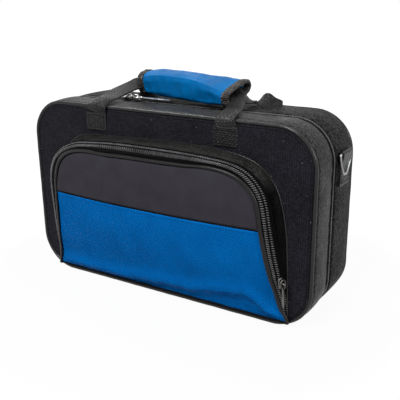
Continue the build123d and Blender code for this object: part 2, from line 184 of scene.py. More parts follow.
def beads(name, starts, ends, sides, radius):
    """Many small rounded bars, each from a start to an end. sides gives each bar's width direction."""
    axis = unit(ends - starts)
    sides = unit(sides - axis * np.sum(sides * axis, -1, keepdims=True))
    tall = np.cross(axis, sides)
    rings = [starts[:, None]]
    for share, size in ((0.12, 0.75), (0.5, 1.0), (0.88, 0.75)):
        centre = starts + (ends - starts) * share
        spokes = [radius * size * (np.cos(t) * sides + np.sin(t) * tall) for t in circle(6)]
        rings.append(np.stack([centre + spoke for spoke in spokes], 1))
    points = np.concatenate([*rings, ends[:, None]], 1)
    one = [[0, 1 + (k + 1) % 6, 1 + k] for k in range(6)]
    for ring in (1, 7):
        one += [[ring + k, ring + (k + 1) % 6, ring + 6 + (k + 1) % 6, ring + 6 + k] for k in range(6)]
    one += [[19, 13 + k, 13 + (k + 1) % 6] for k in range(6)]
    faces = [[index + 20 * n for index in face] for n in range(len(starts)) for face in one]
    return mesh_object(name, points, faces)


def stitches(name, at_points, radius=0.28):
    """Short raised stitches along a line of evenly spaced points."""
    starts, steps = at_points[:-1], np.diff(at_points, axis=0)
    side = np.cross(steps, unit(np.gradient(at_points, axis=0))[:-1] + (0, 0.3, 0.1))
    return beads(name, starts, starts + steps * 0.62, side, radius)


def seam_run(corners):
    """Places of stitches along straight seams from corner to corner, as two coordinates."""
    corners = np.array(corners, float)
    run = lengths(corners)
    at = np.arange(0, run[-1], 2.4)
    return np.interp(at, run, corners[:, 0]), np.interp(at, run, corners[:, 1])


def dress(made, material, body=None, solid=None, slot=None):
    """Give a piece its material and the body it rides on, and hide the solid it stands for. slot is not used."""
    made.data.materials.append(materials[material])
    if body:
        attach(made, body)
    if solid:
        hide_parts(solid)
    slot or material
    return made


# ==== Materials ====
materials = {}


def srgb(colour):
    """A colour as it looks, from 0 to 255, as linear values."""
    shares = [value / 255 for value in colour]
    return tuple(s / 12.92 if s <= 0.04045 else ((s + 0.055) / 1.055) ** 2.4 for s in shares) + (1.0,)


def node(tree, kind, inputs=(), **settings):
    """A node with its settings, and its inputs as values or as links."""
    made = tree.nodes.new(kind)
    for key, value in settings.items():
        setattr(made, key, value)
    for key, value in dict(inputs).items():
        if isinstance(value, bpy.types.NodeSocket):
            tree.links.new(value, made.inputs[key])
        else:
            made.inputs[key].default_value = value
    return made


def new_material(name, rough, shine=0.5, **sockets):
    """A material's node tree and shader, and its texture and object coordinates."""
    made = materials[name] = bpy.data.materials.new(name)
    made.use_nodes = True
    shader = made.node_tree.nodes["Principled BSDF"]
    for socket, value in dict(sockets, Roughness=rough, Specular_IOR_Level=shine).items():
        shader.inputs[socket.replace("_", " ")].default_value = value
    places = node(made.node_tree, "ShaderNodeTexCoord")
    return made.node_tree, shader, places.outputs["UV"], places.outputs["Object"]


def mix_colour(tree, share, first, second, blend="MIX"):
    """A mix of two colours."""
    made = node(tree, "ShaderNodeMix", {0: share, 6: first, 7: second}, data_type="RGBA", blend_type=blend)
    return made.outputs[2]


def maths(tree, operation, first, second):
    """A sum of two values, or another operation on them."""
    return node(tree, "ShaderNodeMath", {0: first, 1: second}, operation=operation).outputs[0]


def noise(tree, vector, scale, detail=3.0):
    """Noise from 0 to 1 at a number of swells for each metre."""
    made = node(tree, "ShaderNodeTexNoise", {"Vector": vector, "Scale": scale, "Detail": detail})
    return made.outputs["Fac"]


def wave(tree, vector, pitch, direction, distortion=0.5):
    """Height of even ridges, from 0 to 1, `pitch` metres apart."""
    inputs = {"Vector": vector, "Scale": math.pi / 10 / pitch, "Distortion": distortion, "Detail Scale": 0.8}
    return node(tree, "ShaderNodeTexWave", inputs, bands_direction=direction).outputs["Fac"]


def weave(tree, vector, pitch):
    """Height of a plain weave, from 0 to 1, with threads `pitch` metres wide."""
    threads = [wave(tree, vector, pitch, direction) for direction in ("X", "Y")]
    over = node(tree, "ShaderNodeTexChecker", {"Vector": vector, "Scale": 1 / pitch}).outputs["Fac"]
    return node(tree, "ShaderNodeMix", {0: over, 2: threads[0], 3: threads[1]}, data_type="FLOAT").outputs[0]


def diamond_cells(tree, vector, pitch):
    """Height of small woven diamonds, from 0 to 2."""
    turned = {"Vector": vector, "Angle": math.radians(45)}
    turned = node(tree, "ShaderNodeVectorRotate", turned, rotation_type="Z_AXIS").outputs[0]
    return maths(tree, "ADD", *(wave(tree, turned, pitch, direction, 0.3) for direction in ("X", "Y")))


def spread(tree, value, low_in, high_in, low_out=0.0, high_out=1.0):
    """A value moved from one range to another."""
    sockets = {"Value": value, "From Min": low_in, "From Max": high_in, "To Min": low_out, "To Max": high_out}
    return node(tree, "ShaderNodeMapRange", sockets).outputs["Result"]


def shade(tree, colour, height, low_in, high_in, strength):
    """A colour made darker where a height is low and lighter where it is high."""
    share = spread(tree, height, low_in, high_in, 1 - strength, 1 + strength)
    return mix_colour(tree, 1.0, colour, share, "MULTIPLY")


def finish_surface(tree, shader, place, colour, rough, bumps):
    """Join a material's colour, its uneven gloss and its bumps, each bump as (height, strength, distance)."""
    tree.links.new(colour, shader.inputs["Base Color"])
    worn = spread(tree, noise(tree, place, 150, 5), 0.3, 0.7, rough - 0.07, rough + 0.09)
    tree.links.new(worn, shader.inputs["Roughness"])
    normal = None
    for height, strength, distance in bumps:
        inputs = {"Height": height, "Strength": strength, "Distance": distance}
        if normal:
            inputs["Normal"] = normal
        normal = node(tree, "ShaderNodeBump", inputs).outputs["Normal"]
    tree.links.new(normal, shader.inputs["Normal"])


# Each maker takes a name, two colours that the surface varies between, how rough it is and how it shines.
def cloth(name, dark, light, rough, shine, pitch, depth=0.35, fleck=0, pebble=0, lines=0, cells=0, **sockets):
    """Woven cloth: threads, uneven dye, a little lint and a matt face, with painted shade in the low gaps
    between threads. pebble, lines and cells are how strongly its coating is pebbled, its upright threads
    show, and small diamonds are woven in; pebble also sets the painted highlight on the grain's tops and the
    painted shade in its hollows."""
    tree, shader, uv, place = new_material(name, rough, shine, **sockets)
    threads = weave(tree, uv, pitch)
    grain = noise(tree, place, 430, 1.2)
    fine = noise(tree, place, 900, 2)
    dye = spread(tree, noise(tree, place, 38, 4), 0.3, 0.7)
    colour = mix_colour(tree, dye, srgb(dark), srgb(light))
    # Painted shade: darker where the weave is low, between its threads
    colour = shade(tree, colour, threads, 0, 1, 0.28 - 0.3 * pebble)
    bumps = [(fine, 0.3, 0.0003), (threads, depth, 0.0005)]
    if pebble:
        # Partly uneven tone, partly painted highlight on the grain's tops and painted shade in its hollows
        colour = shade(tree, colour, grain, 0.34, 0.66, pebble)
        bumps.append((grain, 0.9 * pebble, 0.0008))
    if lines:
        upright = wave(tree, uv, 0.0024, "X", 1.5)
        colour = shade(tree, colour, upright, 0, 1, lines)
    if cells:
        diamonds = diamond_cells(tree, uv, 0.0024)
        colour = shade(tree, colour, diamonds, 0.3, 1.7, cells)
        bumps.append((diamonds, 0.5, 0.0005))
    if fleck:
        lint = spread(tree, noise(tree, place, 420, 1), 0.77, 0.80, 0, fleck)
        colour = mix_colour(tree, lint, colour, srgb((150, 150, 152)))
    finish_surface(tree, shader, place, colour, rough, bumps)


def painted_light_wall(name, dark, light, rough, shine):
    """Coated cloth of the pocket's wall: pebbled and lighter on top, darker down its sides, which is painted
    light and shade, with painted shade also in the low parts of its grain and folds.
    """
    tree, shader, _, place = new_material(name, rough, shine)
    height = node(tree, "ShaderNodeSeparateXYZ", {0: place}).outputs["Z"]
    grain = noise(tree, place, 430, 1.2)
    folds = noise(tree, place, 60, 3)
    # Painted light and shade: dark low down and light along the top, by height alone
    colour = mix_colour(tree, spread(tree, height, 0.145, 0.164), srgb(dark), srgb(light))
    # Painted shade: darker in the low parts of the grain and of the folds, lighter on their tops
    colour = shade(tree, colour, grain, 0.34, 0.66, 0.5)
    colour = shade(tree, colour, folds, 0.3, 0.7, 0.3)
    finish_surface(tree, shader, place, colour, rough, ((grain, 0.7, 0.0008), (folds, 0.4, 0.002)))


def ribbed(name, dark, light, rough, shine, pitch, fleck=0.0):
    """Ribbed tape: cords across its length, with painted shade darkening their grooves and the low threads of
    their fine weave, and light threads here and there.
    """
    tree, shader, uv, place = new_material(name, rough, shine)
    ribs = wave(tree, uv, pitch, "X")
    fine = weave(tree, uv, pitch / 2.5)
    # Painted shade: the dark colour in the rib grooves and the light one on the cords, and the fine weave
    # darker where it is low
    colour = mix_colour(tree, spread(tree, ribs, 0.15, 0.85), srgb(dark), srgb(light))
    colour = shade(tree, colour, fine, 0, 1, 0.15)
    if fleck:
        threads = spread(tree, noise(tree, place, 480, 1), 0.60, 0.68, 0, fleck)
        colour = mix_colour(tree, threads, colour, srgb((128, 124, 120)))
    bumps = ((noise(tree, place, 700, 3), 0.25, 0.0003), (ribs, 0.7, 0.0006), (fine, 0.3, 0.0003))
    finish_surface(tree, shader, place, colour, rough, bumps)


def smooth(name, dark, light, rough, shine=0.5, grain=600, bump=0.15, **sockets):
    """A coated, moulded or metal surface: fine grain, uneven gloss and slight scuffs."""
    tree, shader, _, place = new_material(name, rough, shine, **sockets)
    tint = spread(tree, noise(tree, place, 55, 5), 0.3, 0.7)
    colour = mix_colour(tree, tint, srgb(dark), srgb(light))
    bumps = ((noise(tree, place, grain, 4), bump, 0.0003), (noise(tree, place, 130, 2), bump, 0.0006))
    finish_surface(tree, shader, place, colour, rough, bumps)


cloth("panel_cloth", (29, 28, 33), (36, 35, 41), 0.6, 0.05, 0.0021, 0.5, fleck=0.9, pebble=0.3, lines=0.22)
cloth("band_cloth", (34, 34, 35), (47, 47, 47), 0.38, 0.08, 0.0024, 0.3, fleck=0.6, pebble=0.85)
# A copy of band_cloth for the rear half's band, which is the same cloth: its slightly darker colours are
# painted shade
cloth("rear_band_shaded_cloth", (32, 32, 32), (46, 46, 45), 0.5, 0.03, 0.0024, 0.3, fleck=0.4, pebble=0.85)
painted_light_wall("wall_cloth_painted_light", (9, 9, 9), (40, 40, 39), 0.38, 0.03)
smooth("piping", (9, 9, 10), (17, 17, 18), 0.3, 0.36)
smooth("pocket_piping", (9, 9, 10), (20, 18, 17), 0.34, 0.26, grain=1100, bump=0.4)
ribbed("zip_tape", (5, 5, 6), (10, 10, 11), 0.7, 0.03, 0.0016)
smooth("zip_coil", (70, 70, 73), (104, 104, 108), 0.28, 0.5)
ribbed("pocket_tape", (6, 6, 7), (17, 16, 18), 0.5, 0.08, 0.0022)
smooth("pocket_coil", (64, 64, 66), (104, 104, 106), 0.26, 0.3)
smooth("smooth_panel", (57, 55, 61), (63, 61, 68), 0.5, 0.04, grain=1700, bump=0.12)
cloth("blue_weave", (1, 103, 183), (2, 112, 195), 0.5, 0.02, 0.0013, cells=0.13)
cloth("blue_satin", (0, 96, 158), (1, 114, 184), 0.32, 0.04, 0.0012, 0.3, lines=0.1, Anisotropic=0.4)
ribbed("binding", (14, 12, 12), (50, 46, 44), 0.45, 0.2, 0.0020, fleck=0.8)
cloth("webbing", (12, 12, 13), (24, 24, 25), 0.34, 0.24, 0.0022, 0.7, pebble=0.8, fleck=0.6)
sheen = {"Sheen_Weight": 0.35, "Sheen_Roughness": 0.5}
cloth("plush", (20, 20, 23), (36, 36, 41), 0.95, 0.05, 0.0005, pebble=0.4, **sheen)
cloth("pocket_lining", (20, 20, 22), (30, 30, 32), 0.5, 0.2, 0.0005)
smooth("foam", (30, 30, 32), (46, 46, 48), 0.9, 0.1, grain=900, bump=0.5)
smooth("board", (26, 26, 28), (38, 38, 40), 0.9, 0.1, grain=900, bump=0.4)
cloth("hook_and_loop", (16, 16, 18), (34, 34, 38), 0.9, 0.1, 0.0010, pebble=0.8)
smooth("slider_metal", (170, 170, 170), (220, 220, 216), 0.25, bump=0.25, Metallic=1.0)
smooth("dark_metal", (64, 62, 60), (128, 126, 122), 0.3, bump=0.3, Metallic=1.0)
smooth("ring_metal", (118, 119, 120), (168, 169, 170), 0.3, bump=0.08, Metallic=1.0)
smooth("thread", (8, 8, 9), (20, 20, 22), 0.7, 0.05)
smooth("light_thread", (58, 58, 60), (92, 92, 94), 0.6, 0.1)


# ==== The case ====
low, high = box_mm("lid_band_cover")
case_half_width = high[0]
case_half_height = (high[2] - low[2]) / 2
lid_edge_y, lid_cover_y = low[1], high[1]
rear_cover_y, rear_edge_y = (corner[1] for corner in box_mm("rear_band_cover"))
front_y = box_mm("lid_panel_cover")[0][1]
rear_y = box_mm("rear_panel_cover")[1][1]
zip_y = (lid_cover_y + rear_cover_y) / 2
case_top = 2 * case_half_height
corner_radius = 44.0
zip_end_x = 128.0
case_length = 4 * (case_half_width + case_half_height - 2 * corner_radius) + 2 * math.pi * corner_radius
round_case = np.linspace(0, case_length, 560, endpoint=False)[:, None]
round_zip = column(zip_end_x, case_length - zip_end_x, 460)


def case_point(at, inset, y):
    """Points on the case's outline, drawn in by inset, at a depth y. at runs round it from mid base."""
    centres, out = rounded_rectangle(at, case_half_width, case_half_height, corner_radius)
    flat = centres + (corner_radius - np.asarray(inset)[..., None]) * out
    return stack(flat[..., 0], y, np.maximum(flat[..., 1] + case_half_height, 0))


def ringed_points(insets, depths):
    """Rings from the case's outline to its middle, as points and as how far in each ring lies."""
    rings = case_point(round_case, insets, depths)
    spine = rings[:, -1:].copy()
    spine_half = case_half_width - case_half_height
    spine[..., 0] = np.clip(spine[..., 0], -spine_half, spine_half)
    spine[..., 2] = case_half_height
    steps = (np.arange(1, 13) / 12)[:, None]
    points = np.concatenate([rings, rings[:, -1:] * (1 - steps) + spine * steps], 1)
    return points, np.concatenate([insets, insets[-1] + steps.ravel() * (case_half_height - insets[-1])])


def band_cover(name, cover_y, edge_y, seed):
    """Cover of one half's sides: turned under at the zip, puffed a little, and pulled in at the piping."""
    width = abs(edge_y - cover_y)
    steps = (0, 0.25, 0.6, 1.2, 2.0, 2.6, 3.4, 5, 8, 12, 17, 22, 26, 29, 31, 32.2, 33.2, 33.9, 34.55)
    from_zip = np.array(steps) / steps[-1] * width
    from_edge = width - from_zip
    edge_gap = 0.8  # leaves the zip's groove open beside its teeth
    y = cover_y + (edge_y - cover_y) * (edge_gap + (width - edge_gap) * from_zip / width) / width
    middle = np.sin(math.pi * from_zip / width)
    hem = 1.4 * np.exp(-((from_zip / 0.45) ** 1.5)) + 0.28 * bell(from_zip, 2.3, 0.5)
    seam_dip = 1.7 * np.exp(-from_edge / 1.0)
    pucker = 0.22 * ripple(seed, round_case, y * 0.4, 11) * np.exp(-np.minimum(from_zip, from_edge) / 5)
    uneven = 0.45 * ripple(seed + 1, round_case, y, 70) * middle
    return grid(name, case_point(round_case, hem + seam_dip - 0.7 * middle - pucker - uneven, y), around=True)


def panel_cover(name, face_y, facing, seed):
    """Cover of a panel: tucked under the piping, slightly crowned over its board."""
    insets = np.array((3.0, 3.6, 4.1, 4.8, 5.8, 6.4, 7.4, 9, 12, 16, 21, 27, 34, 40))
    points, inside = ringed_points(insets, face_y)
    crown = 0.9 * (1 - np.exp(-((inside - 4) / 18)))
    tuck = 2.2 * np.exp(-np.maximum(inside - 3, 0) / 0.9) + 0.3 * bell(inside, 6.2, 0.6)
    x, z = points[..., 0], points[..., 2]
    uneven = 0.5 * ripple(seed, x, z, 90) + 0.12 * ripple(seed + 1, x, z, 24)
    points[..., 1] = face_y + facing * (crown - tuck + uneven * clamp((inside - 4) / 12))
    return grid(name, points, around=True, flat=(0, 2))


def round_piping(name, face_y, facing):
    """Round piping sewn in where a panel meets its band."""
    radius = 2.15
    turns = circle(12)
    wobble = 0.12 * ripple(31, round_case, 0, 26)
    inset = radius + 0.05 + (radius + wobble) * np.cos(turns)
    y = face_y - facing * (radius - 0.5) + facing * (radius + wobble) * np.sin(turns)
    return grid(name, case_point(round_case, inset, y), around=True, tube=True)


def zip_tape(name, seam_y, cover_y, facing):
    """Half of the main zip's tape, from under the cover's hem to its teeth."""
    y = (seam_y + facing * 0.9, seam_y + facing * 1.6, (seam_y + cover_y) / 2, cover_y + facing * 1.2)
    return grid(name, case_point(round_zip, (1.9, 2.3, 2.5, 2.0), y))


def zip_teeth(name, seam_y, facing, shift):
    """Half of the main zip's teeth."""
    pitch = 1.7
    at = np.arange(zip_end_x + shift * pitch, case_length - zip_end_x, pitch)
    starts = case_point(at, 0.4, seam_y - facing * 0.4)
    ends = case_point(at, 0.6, seam_y + facing * 1.25)
    along = case_point(at + 0.5, 0.5, seam_y) - case_point(at - 0.5, 0.5, seam_y)
    return beads(name, starts, ends, along, 0.6)


def build_half(half, body, facing, cover_y, edge_y, face_y, seed):
    """Covers, piping, zip and stitches of the lid or of the rear half."""
    seam_y = zip_y + 0.4 + facing * 0.15
    prefix, band = ("front", "band_cloth") if facing < 0 else ("rear", "rear_band_shaded_cloth")
    dress(band_cover(f"{half}_band", cover_y, edge_y, seed), band, body, f"{half}_band_cover", "woven_cover")
    panel = panel_cover(f"{half}_panel", face_y, facing, seed + 5)
    dress(panel, "panel_cloth", body, f"{half}_panel_cover", "woven_cover")
    dress(round_piping(f"{prefix}_piping_cord", face_y, facing), "piping", body, f"{prefix}_piping")
    dress(zip_tape(f"{half}_tape", seam_y, cover_y, facing), "zip_tape", body, f"{half}_zip_tape")
    teeth = zip_teeth(f"{half}_teeth", seam_y, facing, 0.25 - facing * 0.25)
    dress(teeth, "zip_coil", body, f"{half}_zip_coil")
    along = np.arange(0, case_length, 3.4)
    line = case_point(along, 6.2, face_y + facing * 0.25)
    dress(stitches(f"{half}_panel_stitches", line), "thread", body, slot="woven_cover")
    rim = case_point(along, 0.15, cover_y + facing * 2.3)
    dress(stitches(f"{half}_hem_stitches", rim), "thread", body, slot="woven_cover")
    beside = case_point(np.arange(zip_end_x, case_length - zip_end_x, 2.6), 1.5, cover_y - facing * 0.9)
    dress(stitches(f"{half}_zip_stitches", beside, 0.35), "light_thread", body, slot="zip_tape")


build_half("lid", "lid", -1, lid_cover_y, lid_edge_y, front_y, 3)
build_half("rear", "rear_half", 1, rear_cover_y, rear_edge_y, rear_y, 17)


# ==== Front pocket ====
pocket_half_width = 156.5
pocket_top = 181.0
pocket_bottom = 6.0
panel_seam_z = 109.8
section_z = (6, 28, 55, 84, 111, 143, 190)
section_depth = (3.4, 10, 19, 26, 29.5, 31.5, 32.5)
section_crown = (0.2, 5, 8, 10, 10, 10, 10)
crown_half_width = 165.0
wall_behind = 7.3  # how far the side wall's edge lies behind the pocket's face


def pocket_depth(x, z):
    """How far the pocket's face stands out from the front panel."""
    middle = smooth_through(z, section_z, section_depth)
    crown = smooth_through(z, section_z, section_crown)
    return middle - crown * (x / crown_half_width) ** 2


# The pocket's seams by place along its rim: how far the rim leans in by the front panel and by the
# pocket's face, and how far in from the upright rim the zip ends and the panels begin.
seam_places = (
    -3, -2.86, -2.77, -2.58, -2.3, -1.92, -1.74, -1.55, -1.32, -1.07, -0.85, -0.56, 0, 0.35,
    0.69, 0.92, 1.07, 1.21, 1.37, 1.5, 1.62, 1.75, 1.88, 2.07, 2.4, 2.69, 3,
)
base_leans = (
    0, 0, 0, 0, 0, -0.4, -1.4, -2.4, -0.8, 2.2, 0.6, -1.0, -0.6, 0.8,
    2.4, 3.4, 3.2, 0.6, 0.2, 0, 0, 0, 0, 0, 0, 0, 0,
)
rim_leans = (
    0, 0.6, 1.2, 2.4, 4.4, 4.4, 1.8, -1.6, -1.4, 0.2, -1.8, -3.6, -4.6, -3.8,
    -1.4, 1.2, 2.8, 3.2, 0.8, -2.0, -3.2, -1.2, 1.2, 1.4, 0.9, 0.5, 0,
)
zip_inners = (
    0.9, 1.8, 3.4, 5.2, 7.2, 8.0, 5.8, 3.0, 3.6, 5.2, 5.0, 4.6, 4.6, 4.6,
    5.2, 6.6, 8.2, 7.8, 5.2, 2.4, 1.4, 3.2, 5.4, 5.6, 5.0, 4.0, 0.9,
)
panel_edges = (
    1.2, 2.6, 6.6, 10.2, 12.0, 13.0, 11.2, 7.8, 9.6, 13.6, 15.8, 17.0, 17.2, 17.6,
    18.6, 18.4, 17.2, 14.4, 11.2, 10.0, 10.2, 11.4, 11.8, 10.4, 8.4, 7.0, 3.0,
)


def pocket_rim(place, inset, depth):
    """x and z on the pocket's outline. place runs from -3, the right foot, over 0, mid top, to 3."""
    base, face = (smooth_through(place, seam_places, leans) for leans in (base_leans, rim_leans))
    inset = inset + base + (face - base) * clamp(depth / 22)
    u = 3 - np.abs(place)
    half = pocket_half_width - inset
    foot = half - 0.31 * depth
    top = pocket_top - 0.18 * depth - 0.65 * inset
    side_z = 60.0
    low_z = pocket_bottom + clamp(u) * (side_z - pocket_bottom)
    low_x = foot - 1.7 * clamp((low_z - 20) / 40)
    t = clamp(u - 1)
    shares = ((1 - t) ** 3, 3 * t * (1 - t) ** 2, 3 * t * t * (1 - t), t**3)
    corner_x = (foot - 1.7, half - 4.5 - 0.40 * depth, half - 24.5 + 0.15 * depth, half - 76.5)
    curve_x = sum(s * x for s, x in zip(shares, corner_x))
    curve_z = sum(s * z for s, z in zip(shares, (side_z, top - 39, top - 1, top)))
    x = np.where(u < 1, low_x, np.where(u < 2, curve_x, (half - 76.5) * clamp(3 - u)))
    z = np.where(u < 1, low_z, np.where(u < 2, curve_z, top))
    return x * -np.sign(place + 1e-9), z


def pocket_places(step):
    """Places evenly spaced along the pocket's rim, some `step` millimetres apart."""
    fine = np.linspace(-3, 3, 2001)
    run = lengths(stack(*pocket_rim(fine, 3, 0)))
    return np.interp(np.linspace(0, run[-1], int(run[-1] / step)), run, fine)


def pocket_point(place, inset, behind):
    """Points on the pocket's edge, in from its leaning rim and behind its crowned face."""
    place, inset, behind = np.broadcast_arrays(place, inset, behind)
    depth = np.full(place.shape, 20.0)
    for _ in range(6):
        x, z = pocket_rim(place, inset, depth)
        depth = np.maximum(pocket_depth(x, z) - behind, 0)
    return stack(x, front_y - depth, z)


def seam(place, values, share=0.0, towards=None):
    """How far in from the leaning rim a seam runs, or a line part of the way from it towards another."""
    run = smooth_through(place, seam_places, values)
    if towards:
        run = run + (smooth_through(place, seam_places, towards) - run) * share
    return run - smooth_through(place, seam_places, rim_leans)


def pocket_teeth(name, ends, shift):
    """A row of the pocket zip's coil, its turns slanting. ends gives (share of the way in, behind)."""
    places = pocket_places(1.3)[shift::2]
    width = seam(places, zip_inners)
    starts, to = (pocket_point(places, width * share, behind) for share, behind in ends)
    along = np.gradient(starts, axis=0)
    return beads(name, starts, to + along * 0.6, along, 0.72)


rim_places = pocket_places(3.0)[:, None]
towards_top = clamp(1.5 - np.abs(rim_places))  # 0 down the sides and 1 along the top
right_edge, left_edge = (
    pocket_point(places, seam(places, panel_edges), 0.0)
    for places in (np.linspace(-3, -1e-6, 500), np.linspace(1e-6, 3, 500)[::-1])
)


def panel_sides(z):
    """x of the pocket's panels' left and right edges at a height."""
    return tuple(np.interp(z, edge[:, 2], edge[:, 0]) for edge in (left_edge, right_edge))


def pocket_gusset():
    """Side wall of the pocket, from the front panel to the zip, slack between its seams."""
    share = np.linspace(0, 1, 12)
    between = np.sin(math.pi * share)
    edge = pocket_point(rim_places, 0.0, wall_behind)
    depth = (front_y - edge[..., 1]) * share
    x, z = pocket_rim(rim_places, 0.0, depth)
    slack = between * (0.9 + 0.8 * ripple(41, rim_places * 110, share * 30, 55))
    dents = ((-1.2, 0.035, -2.2), (-1.27, 0.03, 3.0), (-1.35, 0.03, -2.0), (1.1, 0.05, 1.5))
    for place, width, dent in dents:
        slack = slack + dent * bell(rim_places, place, width) * between
    inner_x, inner_z = pocket_rim(rim_places, 1.0, depth)
    x, z = x + (inner_x - x) * slack, z + (inner_z - z) * slack
    return grid("pocket_side_wall", stack(x, front_y - depth, z))


# The blue panel sags over its board: below this line it turns under
sag_x = (-160, -120, -54, -30, -7, 20, 44, 72, 111, 123, 135, 160)
sag_z = (6, 9, 10, 14.5, 17, 19.5, 18.5, 25, 31, 27, 15, 7)


def lower_panel():
    """The woven blue panel: it bulges over its foot, turns under below, and is folded in at the seam."""
    hem_z, fold_z = (5.6, 6.6, 8.0), (106, 107.4, 108.4, 109.2, 109.7)
    z = np.concatenate([hem_z, np.linspace(9.5, 40, 30), np.linspace(42, 104, 30), fold_z])[:, None]
    left, right = panel_sides(z)
    x = left - 0.8 + (right - left + 1.6) * np.linspace(0, 1, 120)
    depth = pocket_depth(x, z)
    from_side = np.minimum(x - left, right - x)
    puff = 0.9 * np.sin(math.pi * clamp((z - 6) / 104)) * clamp(from_side / 30) + 0.45 * ripple(51, x, z, 60)
    line = np.interp(x, sag_x, sag_z) + 0.8 * ripple(53, x, 0 * x, 22)
    below = clamp((line + 2 - z) / (line - 3))
    line_depth = pocket_depth(x, line)
    bulge = 4.2 * bell(z - line, 3, 11) * clamp(from_side / 14)
    under = below**0.8 * (line_depth + 1.5 - pocket_depth(x, 6 + 0 * x)) * clamp(from_side / 8)
    straight = clamp((line - z) / 12) * (line_depth - depth)
    fold = 1.3 * np.exp(-((109.8 - z) / 1.1)) + 1.0 * np.exp(-np.maximum(from_side, 0) / 1.5)
    low = clamp((z - 6) / 10)
    creases = 0.5 * ripple(55, x, z * 0.5, 13) * clamp((line + 4 - z) / 6) * low
    out = depth + (puff + bulge) * low + straight - under + 0.7 * bell(z, 107.6, 0.9) + creases - fold
    return grid("pocket_blue_panel", stack(x, front_y - np.maximum(out, 2.2), z), flat=(0, 2))


def upper_panel():
    """The smooth panel, from the seam to the piping."""
    ends = [
        float(np.interp(panel_seam_z, edge[:, 2], places))
        for edge, places in ((right_edge, np.linspace(-3, 0, 500)), (left_edge, np.linspace(3, 0, 500)))
    ]
    place = column(*ends, 130)
    rim = pocket_point(place, seam(place, panel_edges) - 0.8, 0.0)
    base = stack(np.interp(place, ends, panel_sides(panel_seam_z)[::-1]), 0.0, panel_seam_z)
    share = np.concatenate([(0, 0.012, 0.025, 0.045, 0.07), np.linspace(0.1, 0.94, 22), (0.965, 0.985, 1)])
    points = base + (rim - base) * share[:, None]
    x, z = points[..., 0], np.maximum(points[..., 2], panel_seam_z)
    rise = np.sin(math.pi * share)
    puff = 0.7 * rise + 0.4 * ripple(57, x, z, 80) * rise
    fold = 1.1 * bell(z, panel_seam_z, 1.2) + 1.2 * np.exp(-(1 - share) * 40)
    return grid("pocket_smooth_panel", stack(x, front_y - (pocket_depth(x, z) + puff - fold), z), flat=(0, 2))


def build_pocket():
    """The pocket: its side wall stays on the lid, its face opens downwards."""
    dress(pocket_gusset(), "wall_cloth_painted_light", "lid", "pocket_gusset", "gusset_cloth")
    wall_tape = pocket_point(rim_places, (-0.9, -0.7, -0.1, 0.5, 0.9), (8.8, 7.6, 7.0, 3.2, 2.3))
    dress(grid("pocket_wall_tape", wall_tape), "zip_tape", "lid", "pocket_gusset_tape")
    teeth = pocket_teeth("pocket_wall_teeth", ((-0.05, 5.6), (0.02, 2.6)), 0)
    dress(teeth, "pocket_coil", "lid", "pocket_coil_back")
    turns = circle(8)
    x, z = pocket_rim(rim_places, -0.2 + 1.0 * np.cos(turns), 0 * turns)
    welt = grid("pocket_foot_welt", stack(x, front_y - 0.9 - 0.9 * np.sin(turns), z), tube=True)
    dress(welt, "piping", "lid", "pocket_gusset_welt", "gusset_cloth")

    teeth = pocket_teeth("pocket_flap_teeth", ((0.14, 1.5), (0.9, 0.7)), 1)
    dress(teeth, "pocket_coil", "pocket_flap", "pocket_coil_front")
    insets = [seam(rim_places, zip_inners) * share for share in (0.15, 0.5, 0.95)]
    insets += [seam(rim_places, zip_inners, share, panel_edges) for share in (0.15, 0.4, 0.7, 1.0)]
    tape = pocket_point(rim_places, np.concatenate(insets, 1), (2.6, 1.9, 1.7, 1.9, 2.2, 2.6, 2.8))
    dress(grid("pocket_face_tape", tape), "pocket_tape", "pocket_flap", "pocket_flap_tape", "zip_tape")
    # The outline is squashed at the top, so the cord is made wider there
    cord_inset = seam(rim_places, panel_edges) - (3.0 + 2.0 * towards_top)
    radius, proud, round_cord = 1.9, 1.5, circle(10)
    wide = radius * (1 + 0.5 * towards_top) * np.cos(round_cord)
    cord = pocket_point(rim_places, cord_inset + wide, radius - proud - radius * np.sin(round_cord))
    cord = grid("pocket_piping_cord", cord, tube=True)
    dress(cord, "pocket_piping", "pocket_flap", "pocket_piping", "piping")
    # Painted shade: a near-black cord along the seam stands in for the shade in the seam's groove
    x = column(*panel_sides(panel_seam_z), 150)
    y = front_y - pocket_depth(x, panel_seam_z) + 0.5 - 0.7 * np.cos(turns)
    seam_shadow_cord = stack(x, y, panel_seam_z - 0.1 + 0.7 * np.sin(turns))
    seam_shadow_cord = rod("pocket_seam_shadow_cord", seam_shadow_cord)
    dress(seam_shadow_cord, "thread", "pocket_flap", slot="piping")
    dress(upper_panel(), "smooth_panel", "pocket_flap", "pocket_upper_panel")
    dress(lower_panel(), "blue_weave", "pocket_flap", "pocket_lower_panel")
    x = column(left_edge[0, 0] - 1, right_edge[0, 0] + 1, 160)
    y = front_y - 3.7 - 0.3 * ripple(59, x, 0, 30) - 1.1 * np.cos(turns)
    foot = stack(x, y, 7.3 + 0.3 * ripple(60, x, 0, 36) + 1.3 * np.sin(turns))
    foot = rod("pocket_foot_piping", foot)
    dress(foot, "thread", "pocket_flap", slot="piping")


build_pocket()


